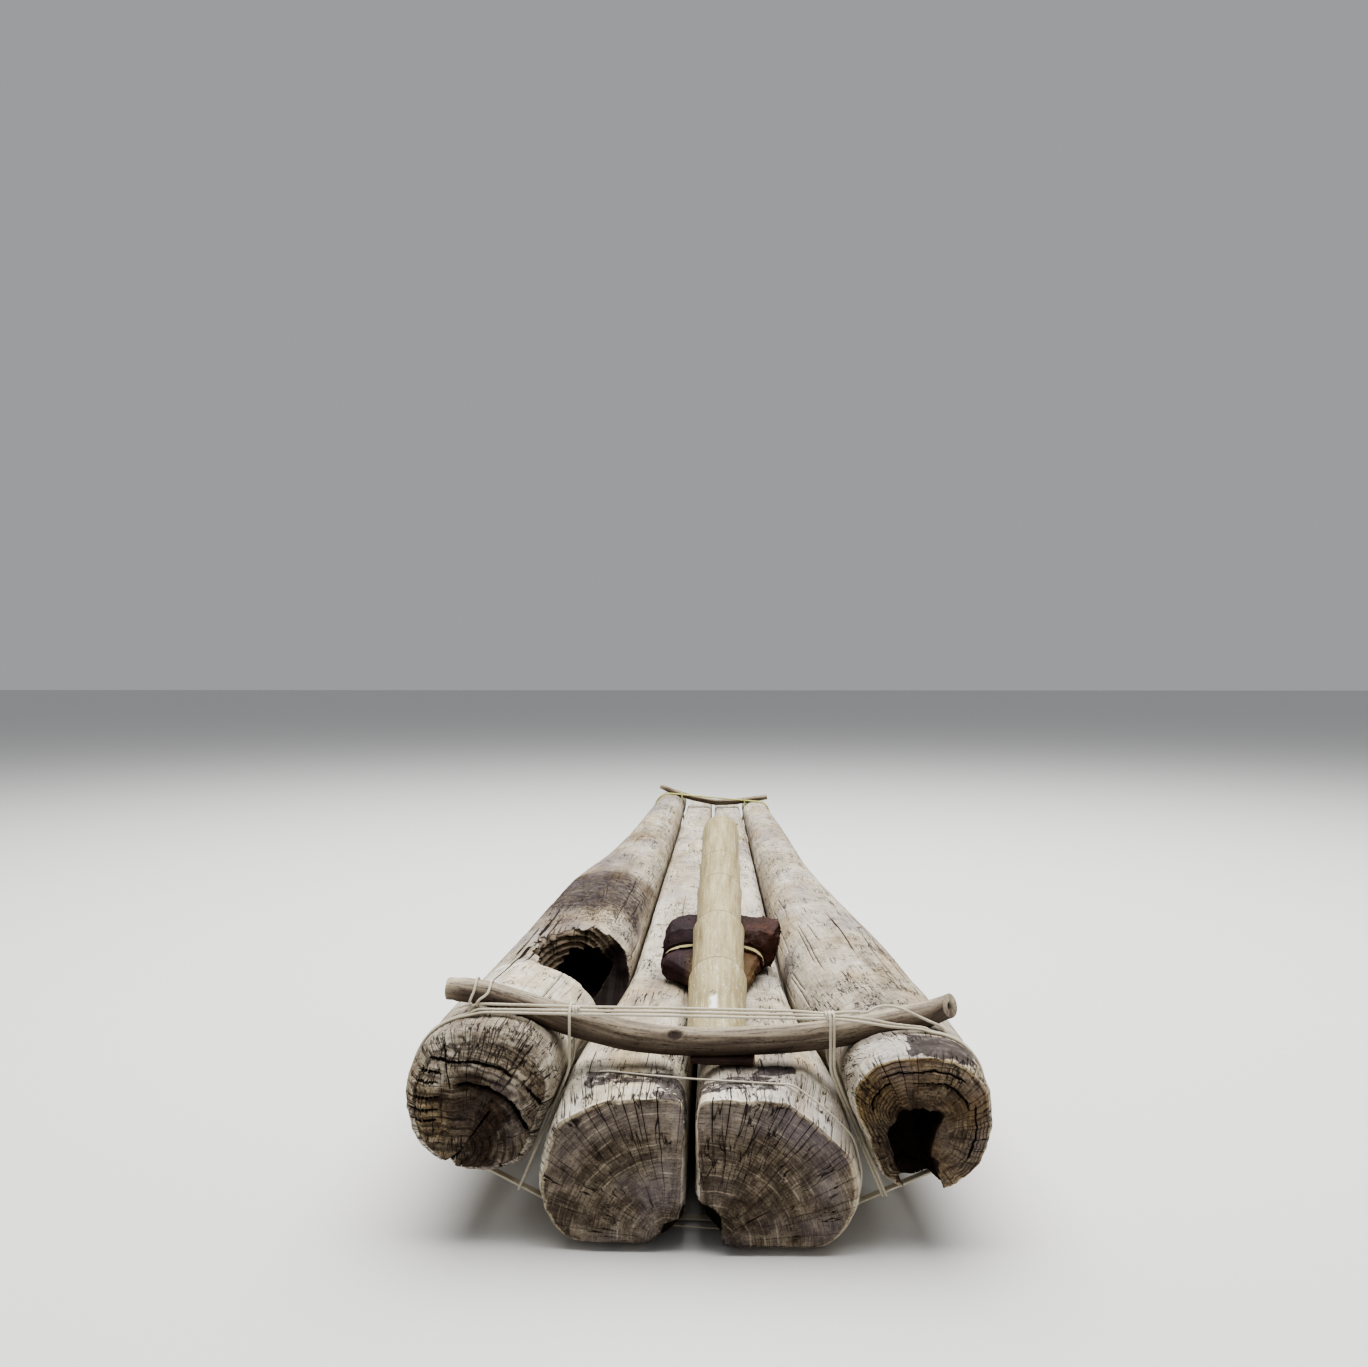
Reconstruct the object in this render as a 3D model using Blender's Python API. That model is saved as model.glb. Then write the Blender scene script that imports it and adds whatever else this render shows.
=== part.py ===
"""Log raft of four tapering driftwood trunks, lashed at each end to a bent branch laid across them.

X runs across the raft, +Y runs from the wide stern to the narrow bow and Z is up. The origin is on the
ground under the middle of the raft's length and width. Sizes are in metres. A station is a distance
forward of the stern end.
"""
import math

import bmesh
import bpy
from mathutils import Vector

# Driving sizes
RAFT_LENGTH = 4.75
HALF_WIDTH = 0.511
DECK_Z = 0.270
GAP = 0.0003

# Stern lashing zone, where every log keeps one section
STERN_ZONE_START = 0.045
STERN_ZONE_END = 0.240
STERN_BEAM_STATION = 0.170
GROOVE_END = 0.152
GROOVE_LIFT = 0.0075
GROOVE_RAMP = 0.002

# Bow lashing zone, measured back from the bow tip
BOW_ZONE_START = 0.530
BOW_ZONE_END = 0.300
BOW_BEAM_SETBACK = 0.420

# Seams between the logs
SEAM_REFERENCE_Z = 0.200
INNER_BITE = 0.070
CENTRE_BITE = 0.012
SEAM_GAP = 0.0008
STERN_SLOTS = {"left": 0.0100, "centre": 0.0100, "right": 0.0135}
SLOT_CLOSING = 0.30
BOW_SLOT = 0.0110
BOW_SLOT_CLOSING = 0.35
DECK_CROWN = 0.010

# Cords
CORD_RADIUS = 0.00275
THIN_CORD_RADIUS = 0.0018
BOW_ROPE_RADIUS = 0.0035
HOOP_TURNS = 3
BEAM_CLEARANCE = 0.0015
SKEW_MARGIN = 1.03

# Points round each kind of outline
RING_POINTS = 24
BEAM_SIDES = 12
STONE_POINTS = 16
BORE_POINTS = 14
CIRCLE_POINTS = 16
CORD_BEVEL_RESOLUTION = 2

# Turns smaller than this count as straight when a hull is drawn, in square metres
STRAIGHT_TURN = 1e-9
SHARP_EDGE_DEG = 40

# Plan of the four logs, along the body between the two lashing zones and at the tip.
# Edges and seams are shares of HALF_WIDTH, a lean is the seam's change of x for each metre of height, and
# the bite is the share of an outer log's width that its natural round section reaches past its seam.
PLAN_COLUMNS = ("t", "left_edge", "left_seam", "left_lean", "centre_seam", "right_seam", "right_lean",
                "right_edge", "bite")
PLAN = (
    (0.00, -1.000, -0.504, 0.42, -0.018, 0.530, -0.42, 1.000, 0.100),
    (0.05, -0.992, -0.448, 0.35, -0.016, 0.458, -0.36, 0.985, 0.045),
    (0.10, -0.985, -0.394, 0.30, -0.014, 0.411, -0.30, 0.960, 0.030),
    (0.17, -0.968, -0.354, 0.26, -0.012, 0.384, -0.26, 0.932, 0.030),
    (0.25, -0.940, -0.345, 0.22, -0.012, 0.375, -0.22, 0.880, 0.030),
    (0.40, -0.905, -0.335, 0.18, -0.010, 0.362, -0.18, 0.768, 0.030),
    (0.54, -0.805, -0.325, 0.15, -0.006, 0.350, -0.15, 0.702, 0.030),
    (0.70, -0.720, -0.315, 0.13, -0.002, 0.337, -0.13, 0.672, 0.030),
    (0.86, -0.655, -0.304, 0.11, 0.002, 0.320, -0.11, 0.631, 0.030),
    (1.00, -0.594, -0.293, 0.10, 0.004, 0.301, -0.10, 0.582, 0.030),
    (1.15, -0.550, -0.270, 0.10, 0.006, 0.280, -0.10, 0.535, 0.030),
)

# Heights of the logs, in metres, at the same places.
PROFILE_COLUMNS = ("t", "left_low", "left_crown", "right_low", "right_crown", "middle_low")
PROFILE = (
    (0.00, 0.110, 0.369, 0.094, 0.346, -0.014),
    (0.10, 0.104, 0.356, 0.092, 0.342, -0.014),
    (0.17, 0.098, 0.356, 0.091, 0.340, -0.014),
    (0.25, 0.093, 0.360, 0.090, 0.338, -0.014),
    (0.40, 0.093, 0.352, 0.092, 0.333, -0.014),
    (0.54, 0.098, 0.337, 0.100, 0.325, -0.014),
    (0.70, 0.110, 0.330, 0.110, 0.315, -0.014),
    (0.86, 0.135, 0.332, 0.132, 0.305, 0.035),
    (1.00, 0.165, 0.340, 0.150, 0.300, 0.100),
    (1.15, 0.205, 0.330, 0.190, 0.290, 0.155),
)
STERN_ZONE_T = 0.00
BOW_ZONE_T = 1.00
TIP_T = 1.15

# Ring places along the body, in shares of its length.
BODY_RINGS = (0.025, 0.05, 0.075, 0.10, 0.135, 0.17, 0.21, 0.25, 0.32, 0.40, 0.47, 0.54, 0.62, 0.70, 0.78,
              0.86, 0.93)

# A worn end shrinks towards a point at this share of the log's height.
WEAR_PIVOT = 0.30

# Worn ends: at the stern, distance in from the end and share of the log's own wear there.
# At the bow, distance in from the end and share of the full section.
STERN_WEAR = ((0.000, 1.00), (0.012, 0.35))
BOW_WEAR = ((0.060, 0.970), (0.000, 0.800))

# The logs: how far each end is set back, how much its stern end is worn smaller, and the squareness of
# its upper and lower halves.
LOG_COLUMNS = ("name", "side", "stern_setback", "bow_setback", "stern_wear", "upper_power", "lower_power")
LOGS = (
    ("log_outer_left", "outer_left", 0.008, 0.070, 0.070, 2.4, 2.1),
    ("log_inner_left", "inner_left", 0.008, 0.000, 0.045, 3.0, 2.3),
    ("log_inner_right", "inner_right", 0.000, 0.025, 0.045, 3.0, 2.3),
    ("log_outer_right", "outer_right", 0.004, 0.110, 0.045, 2.6, 2.1),
)

# Crossbeams, as x in shares of HALF_WIDTH, rise of the centre line above the line that joins the outer
# crowns, and radius.
STERN_BEAM = (
    (-0.894, 0.0321, 0.0165),
    (-0.880, 0.0318, 0.0215),
    (-0.783, 0.0289, 0.0226),
    (-0.646, 0.0120, 0.0222),
    (-0.513, -0.0100, 0.0262),
    (-0.380, -0.0266, 0.0285),
    (-0.254, -0.0418, 0.0275),
    (-0.104, -0.0482, 0.0258),
    (0.051, -0.0475, 0.0252),
    (0.205, -0.0420, 0.0256),
    (0.358, -0.0336, 0.0256),
    (0.474, -0.0244, 0.0256),
    (0.589, -0.0113, 0.0254),
    (0.710, 0.0028, 0.0250),
    (0.813, 0.0176, 0.0244),
    (0.924, 0.0361, 0.0225),
)
BOW_BEAM = (
    (-0.542, 0.0350, 0.0110),
    (-0.528, 0.0330, 0.0140),
    (-0.429, 0.0130, 0.0145),
    (-0.215, -0.0130, 0.0150),
    (0.029, -0.0270, 0.0155),
    (0.235, -0.0130, 0.0150),
    (0.426, 0.0120, 0.0145),
    (0.558, 0.0280, 0.0140),
)

# Short stick wedged between the deck and the stern beam
WEDGE_X = (-0.012, 0.104)
WEDGE_BREADTH = 0.040
WEDGE_TOP = 0.018

# Frapping turns stand upright where they rise above the deck
FRAPPING_BEND_Z = DECK_Z + 0.004

# Hitch round the left end of the stern beam, as places along x in shares of HALF_WIDTH
HITCH_X = (-0.807, -0.783)

# Thin cord round the two inner logs: its stations at the left and the right seam
INNER_LASHING_STATIONS = (0.098, 0.060)

# Paddle: a split bamboo lying with its round side up
PADDLE_LENGTH = 1.38
PADDLE_START = 0.215
PADDLE_X = 0.0342
PADDLE_TILT_DEG = 10.0
PADDLE_YAW_DEG = 0.35
PADDLE_WALL = 0.012
PADDLE_HALF_ARC_DEG = 80.0
PADDLE_ARC_STEPS = 8

# Outer radius along the paddle. Each piece of the cane flares up to its node and is thinner beyond it.
PADDLE_RADII = (
    (0.000, 0.0585),
    (0.200, 0.0592),
    (0.328, 0.0634),
    (0.338, 0.0575),
    (0.450, 0.0575),
    (0.598, 0.0616),
    (0.608, 0.0545),
    (0.730, 0.0545),
    (0.862, 0.0581),
    (0.872, 0.0538),
    (0.960, 0.0538),
    (1.053, 0.0558),
    (1.063, 0.0524),
    (1.200, 0.0528),
    (1.320, 0.0540),
    (1.380, 0.0540),
)

# Rounded tip, as distance from the end and share of the arc that is left
PADDLE_TIP_ROUNDS = ((0.036, 1.00), (0.020, 0.93), (0.008, 0.82), (0.000, 0.62))

# Anchor stone under the paddle, as station, left x, right x and top above the deck: a low front lobe, a neck
# for the cord and a larger lobe behind it.
STONE = (
    (0.622, 0.010, 0.100, 0.030),
    (0.690, -0.045, 0.122, 0.052),
    (0.742, -0.097, 0.138, 0.070),
    (0.776, -0.100, 0.147, 0.079),
    (0.804, -0.099, 0.150, 0.082),
    (0.826, -0.099, 0.185, 0.120),
    (0.870, -0.096, 0.205, 0.145),
    (0.915, -0.080, 0.200, 0.145),
    (0.945, -0.040, 0.150, 0.120),
)
STONE_BOTTOM_SINK = 0.012
STONE_SIDE_X = 0.172
STONE_SIDE_LEAN = 0.25
STONE_POWER = 2.8
STONE_WAIST_STATION = 0.790
STONE_WAIST_HALF = 0.0125
STONE_WAIST_DEPTH = 0.0080
STONE_WAIST_RAMP = 0.002
STONE_TURN_OFFSETS = (-0.0060, 0.0000, 0.0060)

# Rotten hollow in the outer left log: centre and radii of the open pocket, and of the bore beyond it.
POCKET_CENTRE = (-0.235, 0.765, 0.318)
POCKET_RADII = (0.150, 0.200, 0.150)
BORE_START = 0.800
BORE_END = 1.350
BORE_X = -0.300
BORE_Z = 0.240
BORE_RADIUS = 0.072

# Hollow in the stern end of the outer right log, open downwards
END_HOLLOW_X = 0.374
END_HOLLOW_TOP = 0.250
END_HOLLOW_RADIUS = 0.043
END_HOLLOW_DEPTH = 0.150
END_HOLLOW_STEPS = 8
HOLLOW_CUT_START = -0.05

# Colours, as red, green, blue, roughness
WEATHERED_WOOD = (0.50, 0.46, 0.40, 0.85)
BEAM_WOOD = (0.36, 0.29, 0.21, 0.70)
WEDGE_WOOD = (0.14, 0.07, 0.05, 0.80)
BAMBOO = (0.66, 0.58, 0.40, 0.45)
CREAM_CORD = (0.72, 0.66, 0.52, 0.70)
YELLOW_ROPE = (0.55, 0.56, 0.18, 0.75)
PURPLE_STONE = (0.11, 0.06, 0.06, 0.60)


def y_at(station):
    """World y of a station."""
    return station - RAFT_LENGTH / 2


def body_span():
    """Stations where the body starts and ends, between the two lashing zones."""
    return STERN_ZONE_END, RAFT_LENGTH - BOW_ZONE_START


def t_at(station):
    """Place along the plan and profile tables for a station."""
    start, end = body_span()
    if station <= start:
        return STERN_ZONE_T
    if station <= end:
        return STERN_ZONE_T + (BOW_ZONE_T - STERN_ZONE_T) * (station - start) / (end - start)
    zone_end = RAFT_LENGTH - BOW_ZONE_END
    if station <= zone_end:
        return BOW_ZONE_T
    return BOW_ZONE_T + (TIP_T - BOW_ZONE_T) * (station - zone_end) / (RAFT_LENGTH - zone_end)


def read_table(table, columns, t):
    """Row of a table at t, smooth between its rows and flat where two rows are equal."""
    index = 0
    while index < len(table) - 2 and t > table[index + 1][0]:
        index += 1
    low, high = table[index], table[index + 1]
    width = high[0] - low[0]
    part = (t - low[0]) / width
    row = {"t": t}
    for column in range(1, len(columns)):
        secants = [(b[column] - a[column]) / (b[0] - a[0]) for a, b in zip(table, table[1:])]
        slopes = []
        for place in (index, index + 1):
            before = secants[place - 1] if place > 0 else 0.0
            after = secants[place] if place < len(secants) else secants[-1]
            same_way = before * after > 0
            slopes.append(2 * before * after / (before + after) if same_way else 0.0)
        rise = high[column] - low[column]
        cubic = part * part * (3 - 2 * part)
        start_pull = part * (1 - part) ** 2
        end_pull = part * part * (1 - part)
        pull = width * (slopes[0] * start_pull - slopes[1] * end_pull)
        row[columns[column]] = low[column] + rise * cubic + pull
    return row


def slot_at(seam, station):
    """Width of the open seam between two logs at a station."""
    start, end = body_span()
    stern_slot = STERN_SLOTS[seam]
    if station <= start:
        return stern_slot
    if station < start + SLOT_CLOSING:
        return stern_slot + (SEAM_GAP - stern_slot) * (station - start) / SLOT_CLOSING
    if station >= end:
        return BOW_SLOT
    if station > end - BOW_SLOT_CLOSING:
        return BOW_SLOT + (SEAM_GAP - BOW_SLOT) * (end - station) / BOW_SLOT_CLOSING
    return SEAM_GAP


def seam_x(plan, seam, z):
    """X of a seam's middle at a height."""
    lean = plan.get(seam + "_lean", 0.0)
    return plan[seam + "_seam"] * HALF_WIDTH + lean * (z - SEAM_REFERENCE_Z)


def log_bounds(side, plan, profile):
    """Left, right, low and high limits of a log's natural section before it is hewn."""
    left_seam = plan["left_seam"] * HALF_WIDTH
    right_seam = plan["right_seam"] * HALF_WIDTH
    centre = plan["centre_seam"] * HALF_WIDTH
    left_edge = plan["left_edge"] * HALF_WIDTH
    right_edge = plan["right_edge"] * HALF_WIDTH
    left_width, right_width = left_seam - left_edge, right_edge - right_seam
    middle_high = DECK_Z + DECK_CROWN
    return {
        "outer_left": (left_edge, left_seam + plan["bite"] * left_width, profile["left_low"],
                       profile["left_crown"]),
        "inner_left": (left_seam - INNER_BITE * left_width, centre + CENTRE_BITE, profile["middle_low"],
                       middle_high),
        "inner_right": (centre - CENTRE_BITE, right_seam + INNER_BITE * right_width,
                        profile["middle_low"], middle_high),
        "outer_right": (right_seam - plan["bite"] * right_width, right_edge, profile["right_low"],
                        profile["right_crown"]),
    }[side]


def rounded_ring(bounds, upper_power, lower_power, points):
    """Closed superellipse outline as (x, z) pairs, counterclockwise seen from the stern."""
    left, right, low, high = bounds
    centre_x, centre_z = (left + right) / 2, (low + high) / 2
    half_x, half_z = (right - left) / 2, (high - low) / 2
    ring = []
    for index in range(points):
        angle = 2 * math.pi * (index + 0.5) / points
        power = 2 / (upper_power if math.sin(angle) > 0 else lower_power)
        across = math.copysign(abs(math.cos(angle)) ** power, math.cos(angle))
        upward = math.copysign(abs(math.sin(angle)) ** power, math.sin(angle))
        ring.append((centre_x + half_x * across, centre_z + half_z * upward))
    return ring


def log_section(log, station, scale=1.0, groove=None):
    """Hewn outline of a log at a station: flat on its seams, its underside and its deck."""
    side = log["side"]
    t = t_at(station)
    plan = read_table(PLAN, PLAN_COLUMNS, t)
    profile = read_table(PROFILE, PROFILE_COLUMNS, t)
    halves = {seam: slot_at(seam, station) / 2 for seam in STERN_SLOTS}
    in_groove = station <= GROOVE_END if groove is None else groove
    floor = GROOVE_LIFT if in_groove else 0.0
    bounds = log_bounds(side, plan, profile)
    pivot_x = (bounds[0] + bounds[1]) / 2
    pivot_z = bounds[2] + WEAR_PIVOT * (bounds[3] - bounds[2])
    section = []
    for x, z in rounded_ring(bounds, log["upper_power"], log["lower_power"], RING_POINTS):
        z = max(z, floor)
        if side in ("inner_left", "inner_right"):
            z = min(z, DECK_Z)
        left, centre, right = (seam_x(plan, seam, z) for seam in ("left", "centre", "right"))
        if side == "outer_left":
            x = min(x, left - halves["left"])
        elif side == "inner_left":
            x = min(max(x, left + halves["left"]), centre - halves["centre"])
        elif side == "inner_right":
            x = min(max(x, centre + halves["centre"]), right - halves["right"])
        else:
            x = max(x, right + halves["right"])
        section.append((pivot_x + scale * (x - pivot_x), pivot_z + scale * (z - pivot_z)))
    return section


def log_rings(log):
    """Stations and sections of one log from stern to bow."""
    rings = []
    stern = log["stern_setback"]
    bow = RAFT_LENGTH - log["bow_setback"]
    for inset, share in STERN_WEAR:
        scale = 1.0 - share * log["stern_wear"]
        rings.append((stern + inset, log_section(log, stern + inset, scale)))
    rings.append((STERN_ZONE_START, log_section(log, STERN_ZONE_START)))
    rings.append((GROOVE_END, log_section(log, GROOVE_END, groove=True)))
    after_groove = GROOVE_END + GROOVE_RAMP
    rings.append((after_groove, log_section(log, after_groove, groove=False)))
    rings.append((STERN_ZONE_END, log_section(log, STERN_ZONE_END)))
    start, end = body_span()
    for share in BODY_RINGS:
        station = start + share * (end - start)
        rings.append((station, log_section(log, station)))
    for station in (end, RAFT_LENGTH - BOW_ZONE_END):
        rings.append((station, log_section(log, station)))
    for inset, scale in BOW_WEAR:
        rings.append((bow - inset, log_section(log, bow - inset, scale)))
    return rings


def cross(origin, a, b):
    """Turn from origin-a to origin-b, positive to the left."""
    return (a[0] - origin[0]) * (b[1] - origin[1]) - (a[1] - origin[1]) * (b[0] - origin[0])


def convex_hull(points):
    """Convex hull, counterclockwise, without points on its straight sides."""
    ordered = sorted(set(points))
    halves = []
    for run in (ordered, ordered[::-1]):
        half = []
        for point in run:
            while len(half) > 1 and cross(half[-2], half[-1], point) <= STRAIGHT_TURN:
                half.pop()
            half.append(point)
        halves.append(half[:-1])
    return halves[0] + halves[1]


def offset_hull(hull, distance):
    """Hull moved outwards by a distance, with mitred corners."""
    moved = []
    count = len(hull)
    for index, corner in enumerate(hull):
        before = Vector(corner) - Vector(hull[index - 1])
        after = Vector(hull[(index + 1) % count]) - Vector(corner)
        normals = [Vector((run.y, -run.x)).normalized() for run in (before, after)]
        mitre = normals[0] + normals[1]
        reach = 2 * distance / mitre.length_squared
        moved.append((corner[0] + mitre.x * reach, corner[1] + mitre.y * reach))
    return moved


def circle_points(centre, radius):
    """Points round a circle that holds the true circle."""
    outer = radius / math.cos(math.pi / CIRCLE_POINTS)
    steps = [2 * math.pi * index / CIRCLE_POINTS for index in range(CIRCLE_POINTS)]
    return [(centre[0] + outer * math.cos(a), centre[1] + outer * math.sin(a)) for a in steps]


def make_material(name, colour):
    """Principled material of one colour and roughness."""
    material = bpy.data.materials.new(name)
    material.use_nodes = True
    shader = material.node_tree.nodes["Principled BSDF"]
    shader.inputs["Base Color"].default_value = (*colour[:3], 1.0)
    shader.inputs["Roughness"].default_value = colour[3]
    shader.inputs["Metallic"].default_value = 0.0
    return material


def add_mesh(name, vertices, faces, colour):
    """Object from vertices and faces, with its normals outwards."""
    mesh = bpy.data.meshes.new(name)
    mesh.from_pydata(vertices, [], faces)
    work = bmesh.new()
    work.from_mesh(mesh)
    bmesh.ops.recalc_face_normals(work, faces=work.faces)
    work.to_mesh(mesh)
    work.free()
    mesh.shade_smooth()
    mesh.set_sharp_from_angle(angle=math.radians(SHARP_EDGE_DEG))
    piece = bpy.data.objects.new(name, mesh)
    bpy.context.scene.collection.objects.link(piece)
    piece.data.materials.append(make_material(name, colour))
    return piece


def loft(name, rings, colour):
    """Closed solid through rings that have the same number of points."""
    count = len(rings[0])
    vertices = [point for ring in rings for point in ring]
    faces = []
    for ring in range(len(rings) - 1):
        for index in range(count):
            a = ring * count + index
            b = ring * count + (index + 1) % count
            faces.append((a, b, b + count, a + count))
    last = (len(rings) - 1) * count
    faces.append(tuple(range(count - 1, -1, -1)))
    faces.append(tuple(range(last, last + count)))
    return add_mesh(name, vertices, faces, colour)


def station_loft(name, stations, colour):
    """Loft through (station, outline) pairs whose outlines are (x, z) points."""
    rings = [[(x, y_at(station), z) for x, z in outline] for station, outline in stations]
    return loft(name, rings, colour)


def make_cutter(piece):
    """Marks a piece as a cutting shape that isn't part of the raft."""
    piece.hide_render = True
    piece.display_type = "WIRE"
    return piece


def cut(piece, cutter):
    """Takes the cutter's shape out of a piece."""
    boolean = piece.modifiers.new("cut_" + cutter.name, "BOOLEAN")
    boolean.operation = "DIFFERENCE"
    boolean.object = cutter


def crown_line(t, x):
    """Height at x of the straight line that joins the crowns of the two outer logs."""
    plan = read_table(PLAN, PLAN_COLUMNS, t)
    profile = read_table(PROFILE, PROFILE_COLUMNS, t)
    left = log_bounds("outer_left", plan, profile)
    right = log_bounds("outer_right", plan, profile)
    left_x, right_x = (left[0] + left[1]) / 2, (right[0] + right[1]) / 2
    return left[3] + (right[3] - left[3]) * (x - left_x) / (right_x - left_x)


def beam_path(rows, t):
    """Centre line of a crossbeam as (x, z, radius)."""
    return [(share * HALF_WIDTH, crown_line(t, share * HALF_WIDTH) + rise, radius)
            for share, rise, radius in rows]


def beam_tube(name, path, station, grow, colour):
    """Tapered round branch along a path, grown all round by a clearance."""
    rings = []
    for index, (x, z, radius) in enumerate(path):
        before = path[max(index - 1, 0)]
        after = path[min(index + 1, len(path) - 1)]
        along = Vector((after[0] - before[0], 0.0, after[1] - before[1])).normalized()
        upward = Vector((-along.z, 0.0, along.x))
        centre = Vector((x, y_at(station), z))
        if index in (0, len(path) - 1):
            centre += along * (grow if index else -grow)
        ring = []
        for step in range(BEAM_SIDES):
            angle = 2 * math.pi * (step + 0.5) / BEAM_SIDES
            sideways = Vector((0.0, math.cos(angle), 0.0))
            reach = radius + grow
            ring.append(centre + reach * (sideways + upward * math.sin(angle)))
        rings.append([tuple(point) for point in ring])
    return loft(name, rings, colour)


def cord_loop(name, points, radius, colour):
    """Closed round cord through points."""
    curve = bpy.data.curves.new(name, "CURVE")
    curve.dimensions = "3D"
    curve.bevel_depth = radius
    curve.bevel_resolution = CORD_BEVEL_RESOLUTION
    curve.use_fill_caps = True
    spline = curve.splines.new("POLY")
    spline.points.add(len(points) - 1)
    for place, point in zip(spline.points, points):
        place.co = (*point, 1.0)
    spline.use_cyclic_u = True
    cord = bpy.data.objects.new(name, curve)
    bpy.context.scene.collection.objects.link(cord)
    curve.materials.append(make_material(name, colour))
    return cord


def hoop_outline(sides, station, radius):
    """Path of a cord drawn tight round the named logs, as (x, z) points."""
    corners = []
    for log in log_rows():
        if log["side"] in sides:
            corners += log_section(log, station)
    return offset_hull(convex_hull(corners), radius + GAP)


def frapping_x(plan, seam, shift, z):
    """X of a frapping turn at a height: along the seam below the deck, and upright above it."""
    return seam_x(plan, seam, min(z, FRAPPING_BEND_Z)) + shift


def crossings(path, plan, seam, shift, closed):
    """Heights at which a path of (x, z) points crosses a frapping turn's plane."""
    heights = []
    pairs = list(zip(path, path[1:]))
    if closed:
        pairs.append((path[-1], path[0]))
    for a, b in pairs:
        miss_a = a[0] - frapping_x(plan, seam, shift, a[1])
        miss_b = b[0] - frapping_x(plan, seam, shift, b[1])
        if (miss_a < 0) != (miss_b < 0):
            part = miss_a / (miss_a - miss_b)
            heights.append(a[1] + part * (b[1] - a[1]))
    return sorted(heights)


def with_height(loop, height):
    """Closed (station, z) outline with a point wherever it crosses a height."""
    filled = []
    for a, b in zip(loop, loop[1:] + loop[:1]):
        filled.append(a)
        if (a[1] < height) != (b[1] < height):
            part = (height - a[1]) / (b[1] - a[1])
            filled.append((a[0] + part * (b[0] - a[0]), height))
    return filled


def radius_near(path, x, z):
    """Largest beam radius next to a place on its path."""
    near = sorted(path, key=lambda row: abs(row[0] - x) + abs(row[1] - z))
    return max(near[0][2], near[1][2])


def lash_hoops(prefix, stations, radius, colour):
    """Turns of cord round all four logs, side by side. Gives back their shared outline."""
    outline = hoop_outline(("outer_left", "inner_left", "inner_right", "outer_right"), stations[0], radius)
    for turn, station in enumerate(stations, start=1):
        points = [(x, y_at(station), z) for x, z in outline]
        cord_loop(f"{prefix}_hoop_turn_{turn}", points, radius, colour)
    return outline


def lash_frapping(name, seam, shift, outline, stations, beam, beam_station, t, radius, colour):
    """Turn of cord that draws the hoop and the beam together through the slot of a seam."""
    plan = read_table(PLAN, PLAN_COLUMNS, t)
    low, high = crossings(outline, plan, seam, shift, closed=True)
    beam_line = [(x, z) for x, z, _ in beam]
    beam_z = crossings(beam_line, plan, seam, shift, closed=False)[0]
    beam_x = frapping_x(plan, seam, shift, beam_z)
    beam_radius = radius_near(beam, beam_x, beam_z) * SKEW_MARGIN
    held = circle_points((beam_station, beam_z), beam_radius)
    for station in stations:
        for height in (low, high):
            held += circle_points((station, height), radius * SKEW_MARGIN)
    loop = offset_hull(convex_hull(held), radius + GAP)
    loop = with_height(loop, FRAPPING_BEND_Z)
    points = [(frapping_x(plan, seam, shift, z), y_at(station), z) for station, z in loop]
    cord_loop(name, points, radius, colour)


def log_rows():
    """The log table with its columns named."""
    return [dict(zip(LOG_COLUMNS, row)) for row in LOGS]


def build_logs():
    """The four trunks, by side."""
    logs = {}
    for log in log_rows():
        logs[log["side"]] = station_loft(log["name"], log_rings(log), WEATHERED_WOOD)
    return logs


def cut_pocket(log):
    """Rotten pocket in the top of the outer left log and the bore that runs on from it."""
    centre_x, station, centre_z = POCKET_CENTRE
    bpy.ops.mesh.primitive_uv_sphere_add(segments=18, ring_count=10, radius=1.0)
    pocket = bpy.context.object
    pocket.name = "pocket_cutter"
    for vertex in pocket.data.vertices:
        vertex.co.x = centre_x + vertex.co.x * POCKET_RADII[0]
        vertex.co.y = y_at(station) + vertex.co.y * POCKET_RADII[1]
        vertex.co.z = centre_z + vertex.co.z * POCKET_RADII[2]
    cut(log, make_cutter(pocket))
    bore_bounds = (BORE_X - BORE_RADIUS, BORE_X + BORE_RADIUS, BORE_Z - BORE_RADIUS, BORE_Z + BORE_RADIUS)
    stations = [(station, rounded_ring(bore_bounds, 2.0, 2.0, BORE_POINTS))
                for station in (BORE_START, BORE_END)]
    cut(log, make_cutter(station_loft("bore_cutter", stations, WEATHERED_WOOD)))


def cut_end_hollow(log):
    """Round-topped slot in the stern end of the outer right log, open at the bottom."""
    outline = []
    for step in range(END_HOLLOW_STEPS + 1):
        angle = math.pi * step / END_HOLLOW_STEPS
        arch_z = END_HOLLOW_TOP - END_HOLLOW_RADIUS + END_HOLLOW_RADIUS * math.sin(angle)
        outline.append((END_HOLLOW_X + END_HOLLOW_RADIUS * math.cos(angle), arch_z))
    outline.append((END_HOLLOW_X - END_HOLLOW_RADIUS, 0.0))
    outline.append((END_HOLLOW_X + END_HOLLOW_RADIUS, 0.0))
    stations = [(HOLLOW_CUT_START, outline), (END_HOLLOW_DEPTH, outline)]
    cut(log, make_cutter(station_loft("end_hollow_cutter", stations, WEATHERED_WOOD)))


def build_beam(name, rows, station, t, logs, colour):
    """Crossbeam bedded in shallow saddles in the outer logs. Gives back its path and its clearance."""
    path = beam_path(rows, t)
    beam_tube(name, path, station, 0.0, colour)
    clearance = make_cutter(beam_tube(name + "_saddle_cutter", path, station, GAP, colour))
    for side in ("outer_left", "outer_right"):
        cut(logs[side], clearance)
    return path, clearance


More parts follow.
